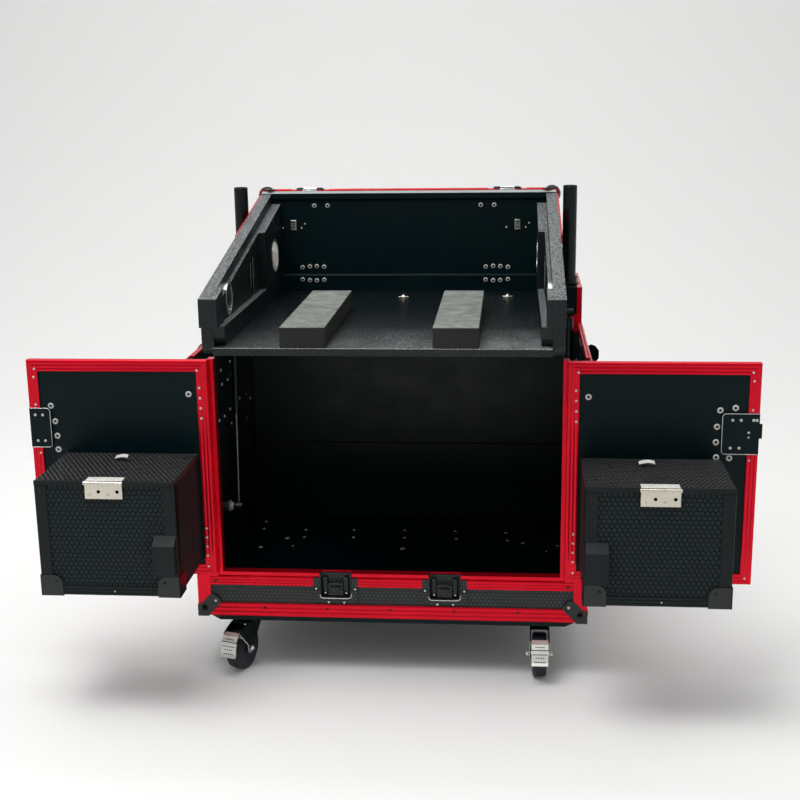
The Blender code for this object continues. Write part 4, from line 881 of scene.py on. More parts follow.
def make_door_ribs(settings):
    """Mitred ribbed faces on both sides of a door and round its edge.

    The inside and the free edge stay clear of the opening and of the other door when closed.
    """
    depth = settings.depth
    face_gap, middle_gap = closed_door_gaps()
    lock_low, lock_high = LOCK_Z - LOCK_BREAK, LOCK_Z + LOCK_BREAK
    for side, word in SIDES:
        lowest, highest, hinge, free = door_sides(side, word)
        bottom, top = lowest[2], highest[2]
        body = "door_" + word
        foot = abs(pivot("door_latch_%s_twist" % word)[0]) - abs(hinge) - LATCH_REACH
        lock_gap = (1, lock_low - bottom, lock_high - bottom)
        foot_gap = (0, foot, foot + 2 * LATCH_REACH)
        for place_word, y, outward, tall, gaps in (
                ("inside", lowest[1], -Y, min(depth, 0.48 * face_gap), [lock_gap]),
                ("outside", highest[1], Y, depth, [lock_gap, foot_gap])):
            corners = [(hinge, y, bottom), (free, y, bottom), (free, y, top), (hinge, y, top)]
            shapes = ribs_round(corners, [Z, -side * X, -Z, side * X], outward, DOOR_WIDE,
                                DOOR_GROOVES, tall, gaps)
            piece("door_%s_ribs_%s" % (word, place_word), body, LOOKS["red"],
                  shapes)
        deep = highest[1] - lowest[1]
        edges = [ribbed((hinge, lowest[1], top), (free, lowest[1], top), Y, Z, deep, DOOR_GROOVES,
                        depth)]
        for a, b in ((bottom, lock_low), (lock_high, top)):
            edges.append(ribbed((free, lowest[1], a), (free, lowest[1], b), Y, side * X, deep,
                                DOOR_GROOVES, min(depth, 0.8 * middle_gap)))
        piece("door_%s_ribs_edge" % word, body, LOOKS["red"], edges)


def make_shell_ribs(settings):
    """Ribbed faces round the console tray's rear shell, broken where its latches sit."""
    depth = settings.depth
    bottom = low("shell_frame")[2]
    half, back, top = high("shell_frame")
    latch = pivot("shell_latch_right_twist")[0]
    start, end = latch - SHELL_LATCH_REACH, latch + SHELL_LATCH_REACH
    corners = [(-half, back, bottom), (-half, back, top), (half, back, top), (half, back, bottom)]
    shapes = ribs_round(corners, [X, -Z, -X], Y, SHELL_BACK_WIDE, POST_GROOVES, depth, (), False)
    for side in (-1, 1):
        shapes.append(ribbed((side * half, back, bottom), (side * half, back, top), -Y, side * X,
                             SHELL_WIDE, POST_GROOVES, depth))
    inset = SHELL_BACK_WIDE
    for a, b in ((-half + inset, -end), (-start, start), (end, half - inset)):
        shapes.append(ribbed((a, back, top), (b, back, top), -Y, Z, SHELL_WIDE, POST_GROOVES,
                             depth))
    piece("shell_frame_ribs", "tray", LOOKS["red"], shapes)


def make_shell_straps():
    """Black straps over the edge above the shell's latches, with bright pins and tongues."""
    latch = pivot("shell_latch_right_twist")[0]
    _, back, top = high("shell_frame")
    straps, pins = [], []
    for side in (-1, 1):
        edge = np.array((side * latch, back, top))
        straps.append(brick(edge + (-0.040, -0.030, -0.002), edge + (0.040, -0.002, 0.003), 0.002))
        for end in (-1, 1):
            loop = edge + (end * 0.029, 0.0, 0.0)
            pin = edge + (end * 0.029 * 1.34, 0.0, 0.0)
            straps.append(brick(loop + (-0.009, -0.024, 0.001), loop + (0.009, -0.006, 0.0058),
                                0.0015))
            pins.append(brick(pin + (-0.0022, -0.023, 0.0015), pin + (0.0022, -0.007, 0.0066),
                              0.001))
        pins.append(tube([edge + (-0.020, -0.018, 0.0040), edge + (0.020, -0.018, 0.0040)], 0.0022,
                         10))
        pins.append(brick(edge + (-0.022, -0.0335, -0.0030), edge + (0.022, -0.0300, 0.0010),
                          0.001))
    piece("shell_latch_straps", "tray", LOOKS["steel"], straps)
    piece("shell_latch_pins", "tray", LOOKS["bright"], pins)


# Cabinet

def make_frame_rivets(settings):
    """Dark rivets along the cabinet's extrusions."""
    rivet = settings.rivet
    proud = 0.0012
    low_z, high_z = BASE + 0.024, SEAM - 0.022
    dark = [screw((x, FRONT - proud, low_z), -Y, rivet)
            for x in (-0.326, -0.163, 0.0, 0.163, 0.326)]
    for side in (-1, 1):
        outer = side * (HALF + proud)
        dark.append(screw((side * 0.452, FRONT - proud, SILL - 0.025), -Y, rivet))
        for y in (0.15, 0.39, 0.63):
            for z in (low_z, high_z):
                dark.append(screw((outer, FRONT + y, z), side * X, rivet))
        for z in (0.30, 0.46, 0.62, 0.76):
            for y in (FRONT + POST_MIDDLE, BACK - POST_MIDDLE):
                dark.append(screw((outer, y, z), side * X, rivet))
    for x in (-0.36, -0.18, 0.0, 0.18, 0.36):
        for z in (low_z, high_z):
            dark.append(screw((x, BACK + proud, z), Y, rivet))
    piece("frame_rivets_dark", "cabinet", LOOKS["steel"], dark)


def make_corner_heads(settings):
    """Screws and round bolt holes in the lobes of the moulded corners, the holes filled with painted
    shade.
    """
    screws, holes, rims = [], [], []
    proud = 0.0031
    for side in (-1, 1):
        for y, outward in ((FRONT, -1), (BACK, 1)):
            for face in ("end", "flank"):
                for into, up, is_hole in ((0.0455, 0.0415, False), (0.0165, 0.0215, True)):
                    if face == "end":
                        point = (side * (HALF - into), y + outward * proud, BASE + up)
                        facing = outward * Y
                    else:
                        point = (side * (HALF + proud), y - outward * into, BASE + up)
                        facing = side * X
                    if is_hole:
                        rims.append(rolled_ring(point, facing, 0.0075, 0.0011))
                        holes.append(turned([(0.0068, -0.0022), (0.0068, 0.0003)], 20, point,
                                            facing))
                    else:
                        screws.append(screw(point, facing, 0.0036))
    piece("corner_screws", "cabinet", LOOKS["zinc"], screws)
    piece("corner_holes", "cabinet", LOOKS["dark_hole"], holes)
    piece("corner_rims", "cabinet", LOOKS["plastic"], rims)


def catch_flange(at):
    """Cup washers and screws of a catch: two in its flange, two below and two in its pocket."""
    rings, studs = [], []
    for across in (-0.0500, 0.0505):
        rings.append(cup_washer(at(across, 0.0006, 0.0), -Y, 0.0062))
        studs.append(screw(at(across, 0.001, 0.0), -Y, 0.0030))
    for across in (-0.0185, 0.0215):
        studs.append(screw(at(across, 0.001, -0.0373), -Y, 0.0028))
    for across in (-0.027, 0.027):
        rings.append(cup_washer(at(across, -0.0042, -0.013), -Y, 0.0056))
        studs.append(screw(at(across, -0.0040, -0.013), -Y, 0.0026))
    return rings, studs


def catch_pocket(at):
    """Pressed pocket of a catch: its rolled rim, the steps beside the hook and the hook's bars."""
    rim = [(-0.0385, 0.0285), (-0.0385, -0.0195), (-0.034, -0.024), (0.034, -0.024),
           (0.0385, -0.0195), (0.0385, 0.0285)]
    shapes = [tube([at(across, 0.001, up) for across, up in rim], 0.0018)]
    for across in (-0.027, 0.027):
        shapes.append(brick(at(across - 0.006, -0.004, -0.0175), at(across + 0.006, -0.016, 0.0285),
                            0.002))
    for foot, head in ((-0.007, -0.001), (0.0105, 0.0145)):
        shapes.append(brick(at(-0.018, -0.0015, foot), at(0.018, -0.006, head), 0.001))
    return shapes


def catch_lip(at):
    """Silver edge that curls round the foot of a catch."""
    path = [(-0.0405, 0.0022, -0.016), (-0.0385, 0.0026, -0.023), (-0.033, 0.0028, -0.0253),
            (0.0, 0.0028, -0.0257), (0.033, 0.0028, -0.0253), (0.0395, 0.0026, -0.022),
            (0.0412, 0.0022, -0.012)]
    return tube([at(*point) for point in path], 0.0012)


def make_sill_catches():
    """Flange screws, pressed pocket and silver lower lip of the two catches in the sill."""
    dark, silver, rings, studs = [], [], [], []
    for side in (-1, 1):
        at = catch_places(side * DISH_X)
        flange_rings, flange_studs = catch_flange(at)
        dark += catch_pocket(at)
        silver.append(catch_lip(at))
        rings += flange_rings
        studs += flange_studs
    piece("sill_catch_pressing", "cabinet", LOOKS["steel"], dark)
    piece("sill_catch_rings", "cabinet", LOOKS["black_profile"], rings)
    piece("sill_catch_studs", "cabinet", LOOKS["pale_zinc"], studs)
    piece("sill_catch_lips", "cabinet", LOOKS["pale_zinc"], silver)


def catch_places(middle):
    """Function that turns (across, ahead of the sill, up) from a catch's middle into a place."""
    return lambda across, ahead, up: (middle + across, FRONT - ahead, CATCH_Z + up)


def make_cabinet_inside(settings):
    """Bolts of the spring mounts, spring seats, stay brackets and floor bolts."""
    floor = high("castor_board")[2]
    bolts, stays = [], []
    for side, word in SIDES:
        inward = -side * X
        for y, z in WALL_BOLTS:
            bolts.append(screw((side * WALL_INNER, FRONT + y, z), inward, settings.bolt * 0.75))
        foot = pivot("spring_%s_lean" % word)
        seat = [(0.016, -0.001), (0.016, 0.002), (0.012, 0.004), (0.0105, 0.012)]
        bolts.append(turned(seat, 20, (side * WALL_INNER, foot[1], foot[2]), inward))
        faces = sorted((side * (WALL_INNER - 0.0015), side * WALL_INNER))
        stays.append(brick((faces[0], FRONT + 0.626, 0.508), (faces[1], FRONT + 0.640, 0.599),
                           0.0005))
        for z in (0.590, 0.517):
            bolts.append(screw((side * (WALL_INNER - 0.0015), FRONT + 0.633, z), inward, 0.0032))
    for x, y in FLOOR_BOLTS:
        for step in (-0.0325, 0.0325):
            bolts.append(screw((x + step * 0.08, FRONT + y - step, floor), Z, 0.0048))
    for x, y, radius in FLOOR_DISCS:
        disc = [(radius, -0.0004), (radius, 0.001), (radius * 0.8, 0.0018), (radius * 0.3, 0.0014)]
        bolts.append(turned(disc, 18, (x, FRONT + y, floor), Z))
    piece("cabinet_bolts", "cabinet", LOOKS["pale_zinc"], bolts)
    piece("cabinet_stays", "cabinet", LOOKS["black_profile"], stays)


# Doors

def hinge_screws(side, hinge, face, radius):
    """Two groups of four screws up the hinge side, a little out of line, as drilled by hand."""
    heads = []
    for top, step in ((0.7675, 0.026), (0.4005, 0.0244)):
        for k in range(4):
            drift = 0.0012 * math.sin(7.0 * k + top * 40)
            heads.append(screw((hinge + side * 0.0195 + drift, face, top - k * step), -Y, radius))
    return heads


def frame_screws(side, hinge, free, face, radius):
    """Screws at the corners of a door's frame and beside its lock plate."""
    spots = [(hinge + side * back, z) for back, z in ((0.024, 0.812), (0.019, 0.298))]
    spots += [(free - side * back, z)
              for back, z in ((0.020, 0.814), (0.017, 0.793), (0.017, 0.722), (0.020, 0.596),
                              (0.016, 0.292))]
    return [screw((x, face, z), -Y, radius) for x, z in spots]


def outside_rivets(side, hinge, free, back, radius):
    """Rivets on the outside of a door's frame, with none beside the lock plate."""
    heads = []
    for z in (0.30, 0.42, 0.69, 0.81):
        heads.append(screw((hinge + side * 0.0135, back, z), Y, radius))
        if abs(z - LOCK_Z) > LOCK_BREAK:
            heads.append(screw((free - side * 0.0135, back, z), Y, radius))
    return heads


def lock_rim(side, edge, free, plane):
    """Bright line round a lock plate: along its top, round two corners and back along its foot."""
    end = free - side * END_GAP
    path = [(end, plane, LOCK_Z + LOCK_HALF)]
    for up, first in ((1, 1), (-1, 2)):
        middle = LOCK_Z + up * (LOCK_HALF - LOCK_ROUND)
        for k in range(6):
            angle = math.pi / 2 * (first + k / 5)
            path.append((edge + side * LOCK_ROUND * (1 + math.cos(angle)), plane,
                         middle + LOCK_ROUND * math.sin(angle)))
    path.append((end, plane, LOCK_Z - LOCK_HALF))
    return tube(path, 0.0008)


def make_door_hardware(settings):
    """Screws of the hinges, the frame's corners and the lock plates, with the plates' rims."""
    rivet, bolt = settings.rivet, settings.bolt
    for side, word in SIDES:
        lowest, highest, hinge, free = door_sides(side, word)
        edge = free - side * LOCK_WIDE[side]
        face = lowest[1] - 0.0014
        panel = lowest[1] + 0.0033
        plane = low("door_panel_" + word)[1]
        spots = [(edge + side * a, LOCK_Z + b) for a, b in LOCK_BOLTS[side]]
        spots.append((hinge + side * 0.049, 0.7505))
        washers = [cup_washer((x, panel, z), -Y, bolt * 1.25) for x, z in spots]
        dark = [screw((x, panel - 0.0004, z), -Y, bolt * 0.5) for x, z in spots]
        pale = hinge_screws(side, hinge, face, rivet * 0.95)
        pale += frame_screws(side, hinge, free, face, rivet * 0.85)
        pale += outside_rivets(side, hinge, free, highest[1] + 0.0014, rivet)
        for back, z in ((0.013, 0.580), (0.012, 0.564)):
            pale.append(screw((hinge + side * back, panel, z), -Y, rivet))
        for a, b in LOCK_SCREWS[side]:
            pale.append(screw((edge + side * a, plane - 0.0003, LOCK_Z + b), -Y, rivet * 1.05))
        if side > 0:
            for up, stud in LOCK_STUDS:
                pale.append(turned(stud, 12, (edge + 0.063, plane, LOCK_Z + up), -Y))
        body = "door_" + word
        piece("door_%s_washers" % word, body, LOOKS["pale_zinc"], washers)
        piece("door_%s_bolts" % word, body, LOOKS["steel"], dark)
        piece("door_%s_screws" % word, body, LOOKS["pale_zinc"], pale)
        piece("door_%s_lock_rim" % word, body, LOOKS["bright"],
              [lock_rim(side, edge, free, plane)])


# Storage boxes

def box_guard_outline():
    """Corner guard from a box's lower corner: square there, a quarter circle at the far one."""
    short, long, radius = -0.0042, 0.0508, 0.022
    angle = np.linspace(0, math.pi / 2, 7)
    arc = np.column_stack([long - radius * (1 - np.cos(angle)), 0.0268 + radius * np.sin(angle)])
    return np.vstack([(short, short), (long, short), arc, (short, 0.0488)])


def make_box_guards(word, body, left, right, ahead, foot):
    """Moulded guards on the two lower front corners of a box, on its front and its flanks."""
    thick, sunk, chamfer = 0.0024, 0.0018, 0.001
    outline = box_guard_outline()
    guards = []
    for x, inward in ((left, 1), (right, -1)):
        face = [(x + inward * a, foot + b) for a, b in outline][::inward]
        guards.append(plate(face, thick, (0.0, ahead - sunk, 0.0), X, Z, chamfer))
        flank = [(-inward * (ahead + a), foot + b) for a, b in outline][::-inward]
        guards.append(plate(flank, thick, (x - inward * sunk, 0.0, 0.0), -inward * Y, Z, chamfer))
    piece("box_%s_guards" % word, body, LOOKS["plastic"], guards)


def make_box_extrusions(word, body, left, right, ahead, foot, top, depth):
    """Black ribbed profiles up a box's front corners and along its foot."""
    out = 0.0015
    y = ahead - out
    bars = []
    for x, inward in ((left - out, X), (right + out, -X)):
        for across, outward in ((inward, -Y), (Y, -inward)):
            bars.append(ribbed((x, y, foot + 0.040), (x, y, top), across, outward, BOX_WIDE,
                               DOOR_GROOVES, depth))
    bars.append(ribbed((left + 0.045, y, foot - out), (right - 0.045, y, foot - out), Z, -Y,
                       BOX_FOOT_WIDE, DOOR_GROOVES, depth))
    piece("box_%s_extrusions" % word, body, LOOKS["black_profile"], bars)


def make_boxes(fasteners, extrusion):
    """Black extrusions, corner guards, screws and lid hardware of the storage boxes."""
    guard = 0.0034
    for side, word in SIDES:
        body = "door_" + word
        lowest, highest = low("storage_box_" + word), high("storage_box_" + word)
        left, right = lowest[0] + guard, highest[0] - guard
        ahead, foot, top = lowest[1] + guard, lowest[2] + guard, highest[2]
        make_box_extrusions(word, body, left, right, ahead, foot, top, extrusion.depth * 0.7)
        make_box_guards(word, body, left, right, ahead, foot)
        pale = [screw(((left + right) / 2 + 0.01, ahead - 0.0028, foot + 0.009), -Y,
                      fasteners.rivet * 0.6)]
        dark = []
        for into, out, z, size in ((0.034, 0.0044, foot + 0.032, 1.3),
                                   (0.012, 0.0028, top - 0.014, 1.1)):
            for x in (left + into, right - into):
                dark.append(screw((x, ahead - out, z), -Y, fasteners.rivet * size))
        piece("box_%s_screws" % word, body, LOOKS["zinc"], pale)
        piece("box_%s_rivets" % word, body, LOOKS["steel"], dark)
        make_hinge_leaf(word, body)
        make_lid_hardware(side, word)


def make_hinge_leaf(word, body):
    """Lower leaf of a lid's hinge with its knuckles, screws, and holes filled with painted shade."""
    axis = pivot("lid_%s_hinge" % word)
    lowest, highest = low("lid_hinge_" + word), high("lid_hinge_" + word)
    face = lowest[1] + 0.0062
    front = face - 0.0010
    wide = highest[0] - lowest[0]
    knuckle = wide / 5
    shapes = [brick((lowest[0] + 0.002, front, lowest[2] - 0.002),
                    (highest[0] - 0.002, face + 0.0012, axis[2] - 0.004), 0.0006)]
    profile = [(0.0040, 0.0005), (0.0047, 0.0010), (0.0047, knuckle - 0.0010),
               (0.0040, knuckle - 0.0005)]
    for k in range(5):
        shapes.append(turned(profile, 16, (lowest[0] + wide * k / 5, axis[1], axis[2]), X))
    for offset in (-0.034, 0.0096):
        shapes.append(screw((axis[0] + offset, front, lowest[2] + 0.008), -Y, 0.0033))
    holes = [turned([(0.0042, -0.0004), (0.0042, 0.0004)], 16,
                    (axis[0] + offset, front, lowest[2] + 0.016), -Y) for offset in (-0.012, 0.033)]
    piece("lid_hinge_leaf_" + word, body, LOOKS["zinc"], shapes)
    piece("lid_hinge_holes_" + word, body, LOOKS["dark_hole"], holes)


def lid_tab(x, back, top):
    """Lifting tab: a flat strip carried across the lid, which rises as a sine and bends back."""
    section = np.array(((0, -0.007, -0.001), (0, 0.007, 0.002), (0, 0.007, 0.0036),
                        (0, -0.007, 0.0006)))
    t = np.linspace(0, 1, 9)
    rise = np.sin(math.pi / 2 * np.minimum(1.0, t * 1.1))
    path = np.stack([x - 0.018 + 0.036 * t, back - 0.060 - 0.016 * t ** 3,
                     top + 0.004 + 0.006 * rise], axis=1)
    return skin(path[:, None] + section)


def make_lid_hardware(side, word):
    """Upper leaf, washers, edge strips and lifting tab of a box lid."""
    lid = "lid_" + word
    axis = pivot("lid_%s_hinge" % word)
    half = (high("lid_hinge_" + word)[0] - low("lid_hinge_" + word)[0]) / 2 - 0.003
    lowest, highest = low("box_lid_" + word), high("box_lid_" + word)
    top, back = highest[2], highest[1]
    ahead, foot, head = lowest[1] - 0.0008, lowest[2] + 0.001, top - 0.0009
    edges = [brick((a, ahead, foot), (b, lowest[1] + 0.006, head), 0.0007)
             for a, b in ((lowest[0] - 0.0008, axis[0] - half - 0.002),
                          (axis[0] + half + 0.002, highest[0] + 0.0008))]
    piece("lid_edge_" + word, lid, LOOKS["black_profile"], edges)
    upper = [brick((axis[0] - half, axis[1] + 0.0045, top - 0.0014),
                   (axis[0] + half, axis[1] + 0.034, top + 0.0006), 0.0006)]
    for offset in (-0.030, -0.010, 0.010, 0.030):
        upper.append(cup_washer((axis[0] + offset, axis[1] + 0.020, top + 0.0004), Z, 0.0052))
    upper.append(lid_tab(axis[0] - (0.016 if side > 0 else 0.005), back, top))
    piece("lid_hardware_" + word, lid, LOOKS["pale_zinc"], upper)


# Console tray

def rear_wall_bolts(side):
    """Places of the bolts in the rear wall: two rows low down and a pair high up."""
    upper = TRAY_INNER + CONSOLE_STEP
    spots = []
    for k, x in enumerate(CONSOLE_BOLT_ROW):
        drift = 0.002 * math.sin(5.0 * k)
        spots.append((side * x + CONSOLE_SHIFT, TRAY_INNER, 0.922 + drift))
        spots.append((side * x + CONSOLE_SHIFT, upper, 0.960 - drift))
    spots += [(side * x + CONSOLE_SHIFT, upper, 1.141) for x in CONSOLE_BOLT_PAIR]
    return spots


def catch_plate(side):
    """Small catch plate high on the rear wall: the plate, its slots as dark bars of painted shade,
    and the screws beside it.
    """
    x, y = side * 0.330 - 0.010, TRAY_INNER + CONSOLE_STEP
    near, far = y - 0.0036, y - 0.0024
    bar = x - side * 0.004
    plates = [brick((x - 0.0085, y - 0.003, 1.069), (x + 0.0085, y + 0.001, 1.099), 0.001)]
    slots = [brick((x - half, near, z - 0.0018), (x + half, far, z + 0.0012), HAIR)
             for z, half in ((1.0925, 0.0045), (1.086, 0.002), (1.0775, 0.005))]
    slots.append(brick((bar - 0.001, near, 1.072), (bar + 0.001, far, 1.096), HAIR))
    heads = [screw((x + offset, y, z), -Y, 0.0026)
             for offset, z in ((-0.032, 1.076), (0.024, 1.076), (0.034, 1.088))]
    return plates, slots, heads


def floor_fitting(x, y):
    """Upright stud on a small cross-shaped foot in the tray's floor."""
    point = np.array((x, FRONT + y, TRAY_TOP))
    stud = [(0.009, -0.0004), (0.009, 0.0012), (0.0075, 0.002), (0.004, 0.0065), (0.0038, 0.0085)]
    return [turned(stud, 18, point, Z),
            brick(point + (-0.0145, -0.0035, 0.0), point + (0.0145, 0.0035, 0.0026), 0.001),
            tube([point + (0.0, -0.012, 0.0015), point + (0.0, 0.012, 0.0015)], 0.0018)]


def liner_slots(side):
    """Upright slots in a cheek's liner, drawn as dark strips of painted shade, each with a bright
    line along its rear edge.
    """
    x = side * (TRAY_OUT - 0.0394)
    slots, lines = [], []
    for y, foot, head in ((FRONT + 0.31, 0.965, 1.030), (FRONT + 0.345, 0.945, 1.040)):
        slots.append(brick((x - 0.0006, y - 0.005, foot), (x + 0.0006, y + 0.005, head), HAIR))
        line = x - side * 0.0008
        lines.append(tube([(line, y + 0.0055, foot), (line, y + 0.0055, head)], 0.0007))
    return slots, lines


def make_console_fittings(settings):
    """Bolts and catch plates of the rear wall, floor fittings and liner slots."""
    washers, bolts, fittings, holes, screws = [], [], [], [], []
    for side in (-1, 1):
        for x, y, z in rear_wall_bolts(side):
            washers.append(cup_washer((x, y, z), -Y, settings.bolt * 1.05))
            bolts.append(screw((x, y - 0.0012, z), -Y, settings.bolt * 0.55))
        plates, plate_slots, heads = catch_plate(side)
        slots, lines = liner_slots(side)
        fittings += plates + lines
        holes += plate_slots + slots
        screws += heads
    for x, y in ((-0.006, 0.605), (0.293, 0.613)):
        fittings += floor_fitting(x, y)
    piece("console_washers", "tray", LOOKS["pale_zinc"], washers)
    piece("console_bolts", "tray", LOOKS["steel"], bolts)
    piece("console_screws", "tray", LOOKS["pale_zinc"], screws)
    piece("console_fittings", "tray", LOOKS["zinc"], fittings)
    piece("console_holes", "tray", LOOKS["dark_hole"], holes)


def port_edge(side, y, z, radius, squash, plane, deep, steps=36):
    """Rolled metal edge of a port in the tray's side: an oval band with a lip at each end."""
    angle = np.arange(steps) * 2 * math.pi / steps
    rings = []
    for grow, into in ((0.0035, -0.0006), (0.0008, -0.0014), (-0.0012, -0.0006), (-0.0014, deep),
                       (-0.0006, deep), (-0.0002, 0.0004), (0.0035, 0.0002)):
        reach = radius + grow
        rings.append(np.stack([np.full(steps, side * (plane + into)), y + reach * np.cos(angle),
                               z + reach * squash * np.sin(angle)], axis=1))
    return skin(rings, True)


def make_console_edges():
    """Rolled edges of the four ports, and a pale strip of painted highlight on top of the rear wall.
    """
    front = low("tray_floor")[1]
    ports = []
    for side in (-1, 1):
        ports.append(port_edge(side, TRAY_INNER - 0.116, TRAY_TOP + 0.121, 0.048, 0.92,
                               TRAY_OUT - 0.056, 0.0552))
        ports.append(port_edge(side, front + 0.165, TRAY_TOP + 0.092, 0.032, 1.2,
                               TRAY_OUT - 0.039, 0.0382))
    piece("console_port_edges", "tray", LOOKS["bright"], ports)
    # Pale strip along the rear rim: a painted highlight
    half, top = high("rear_panel")[0] - 0.001, high("rear_panel")[2]
    section = ((TRAY_INNER + 0.0100, top + 0.0006), (TRAY_INNER - 0.0006, RIM_REAR + 0.0022),
               (TRAY_INNER + 0.0006, RIM_REAR + 0.0014), (TRAY_INNER + 0.0106, top - 0.0004))
    rings = [[(x, y, z) for y, z in section] for x in (-half, half)]
    piece("console_rear_rim", "tray", LOOKS["pale_trim"], [skin(rings)])


def make_foam_blocks():
    """Foam strips with soft cut edges."""
    for _, word in SIDES:
        node = "foam_" + word
        block = brick(low(node), high(node), 0.0025)
        strip = piece(node + "_block", "tray", LOOKS["foam"], [block], (node,))


# Castors

def pedal_points(corner):
    """Corners of a brake pedal's solid, from the castor's axle."""
    mesh = frame["nodes"]["pedal_" + corner].data
    return np.array([vertex.co[:] for vertex in mesh.vertices]) - pivot("roll_" + corner)


def pedal_direction(corner, axis):
    """Level direction from a castor's axle towards its brake pedal."""
    outward = unit(np.cross(Z, axis))
    return outward if pedal_points(corner).mean(axis=0) @ outward > 0 else -outward


def pedal_profile(local, outward):
    """Heights of a pedal's corners and how far out its face is there, without the inner corners."""
    points = sorted({(round(float(z), 5), round(float(out), 5))
                     for z, out in zip(local[:, 2], local @ outward)})
    near = 0.0036
    outer = [(z, out) for z, out in points
             if not any(abs(u - z) < near and e > out + 0.0001 for u, e in points)]
    return [z for z, _ in outer], [out for _, out in outer]


def make_castors():
    """Tread, axle nuts, painted highlights along the fork edges and pedal pressing of each castor."""
    tread = [(0.047, -0.0183), (0.0556, -0.0166), (0.0564, -0.0120), (0.0568, 0.0),
             (0.0564, 0.0120), (0.0556, 0.0166), (0.047, 0.0183)]
    nut = [(0.0085, -0.001), (0.0085, 0.005), (0.0070, 0.0066), (0.0045, 0.0068), (0.0040, 0.010),
           (0.0030, 0.0105)]
    for corner in CORNERS:
        hub = pivot("roll_" + corner)
        axis = np.array(JOINTS["roll_" + corner]["axis"], float)
        outward = pedal_direction(corner, axis)
        nuts, edges = [], []
        for end in (-axis, axis):
            nuts.append(turned(nut, 18, hub + 0.0245 * end, end))
            # Pale tube along each fork leg's edge: a painted highlight
            edges.append(tube([hub + 0.0249 * end + outward * a + Z * b for a, b in FORK_HIGHLIGHT],
                              0.0013))
        fork = "fork_" + corner
        piece("tread_" + corner, "wheel_" + corner, LOOKS["tread"],
              [turned(tread, 48, hub, axis)])
        piece("axle_nuts_" + corner, fork, LOOKS["bright"], nuts)
        piece("fork_edges_" + corner, fork, LOOKS["pale_zinc"], edges)
        make_pedal_pressing(corner, outward)


def make_pedal_pressing(corner, outward):
    """Steps, side ears and pressed dots on a brake pedal, which faces away from the fork, the dark
    ones painted shade.
    """
    name = "pedal_" + corner
    local = pedal_points(corner)
    across = np.cross(outward, Z)
    half = np.abs(local @ across).max()
    levels, depths = pedal_profile(local, outward)
    foot, shin, head = levels[1:4]
    tall = shin - foot
    sunk = 0.003

    def mark(z, height, reach, proud, shift=0.0):
        """Low bar or dot pressed out of the pedal's face at a height."""
        face = float(np.interp(z, levels, depths))
        origin = pivot("roll_" + corner) + outward * (face - sunk) + Z * z - across * shift
        outline = rounded(reach, height / 2, min(reach, height / 2) * 0.7)
        return plate(outline, sunk + proud, origin, -across, Z, 0.0002)

    # Dark bars and dots: painted shade in the pressed steps and dots
    dark = [mark(shin + 0.0005, 0.0018, half * 0.98, 0.0006),
            mark(foot + 0.66 * tall, 0.0016, half * 0.86, 0.0005),
            mark(foot + 0.05 * tall, 0.0016, half * 0.70, 0.0006),
            mark((shin + head) / 2, 0.0014, half * 0.60, 0.0005)]
    for share in (-0.45, -0.15, 0.15, 0.45):
        dark.append(mark(foot + 0.38 * tall, half * 0.16, half * 0.08, 0.0004, half * share))
    bright = [mark(foot + 0.82 * tall, 0.0062, half * 1.12, 0.0012),
              mark(head - 0.001, 0.0040, half * 1.05, 0.0010)]
    piece("pedal_pressing_" + corner, name, LOOKS["pressed"], bright)
    piece("pedal_grooves_" + corner, name, LOOKS["steel"], dark)


# Studio

def camera_axes():
    """Right, up and backward directions of the camera, from its yaw, pitch and roll."""
    level = math.cos(PITCH)
    ahead = np.array((-math.sin(YAW) * level, math.cos(YAW) * level, -math.sin(PITCH)))
    right = np.array((math.cos(YAW), math.sin(YAW), 0.0))
    up = np.cross(right, ahead)
    rolled_right = math.cos(ROLL) * right + math.sin(ROLL) * up
    rolled_up = -math.sin(ROLL) * right + math.cos(ROLL) * up
    return rolled_right, rolled_up, -ahead


def make_camera(settings):
    """Camera at the photo's place, a little to the right of the case and above it."""
    data = bpy.data.cameras.new("camera")
    data.lens = settings.lens
    data.sensor_width = 36
    data.clip_end = 100
    camera = bpy.data.objects.new("camera", data)
    matrix = np.eye(4)
    matrix[:3, :3] = np.array(camera_axes()).T
    matrix[:3, 3] = (CAMERA_X, FRONT - CAMERA_AHEAD, CAMERA_Z)
    camera.matrix_world = Matrix(matrix.tolist())
    bpy.context.scene.collection.objects.link(camera)
    bpy.context.scene.camera = camera


def make_world(settings):
    """White studio: bright overhead and behind, dimmer behind the camera, plain pale where seen."""
    world = bpy.data.worlds.new("studio")
    world.use_nodes = True
    tree = world.node_tree
    background = tree.nodes["Background"]
    direction = add_node(tree, "TexCoord", output="Generated")
    height = add_node(tree, "SeparateXYZ", {0: direction}, "Z")
    back = add_node(tree, "SeparateXYZ", {0: direction}, "Y")
    upward = add_node(tree, "MapRange", {0: height, 1: -0.1, 2: 0.7, 3: 0.25, 4: 1.0})
    behind = add_node(tree, "MapRange", {0: back, 1: -0.8, 2: 0.6, 3: 0.36, 4: 1.0})
    shade = add_node(tree, "Math", {0: upward, 1: behind}, operation="MULTIPLY")
    bright = add_node(tree, "Math", {0: shade, 1: settings.sky}, operation="MULTIPLY")
    seen = add_node(tree, "LightPath", output="Is Camera Ray")
    shown = add_node(tree, "Mix", {0: seen, 2: bright, 3: WORLD_SEEN}, data_type="FLOAT")
    tree.links.new(shown, background.inputs["Strength"])
    background.inputs["Color"].default_value = linear("#FFFFFF")
    bpy.context.scene.world = world


def make_light(name, location, target, size, power):
    """Soft rectangular lamp that faces a target."""
    data = bpy.data.lights.new(name, "AREA")
    data.shape = "RECTANGLE"
    data.size, data.size_y = size
    data.energy = power
    light = bpy.data.objects.new(name, data)
    light.location = location
    aim = Vector(target) - Vector(location)
    light.rotation_euler = aim.to_track_quat("-Z", "Y").to_euler()
    bpy.context.scene.collection.objects.link(light)


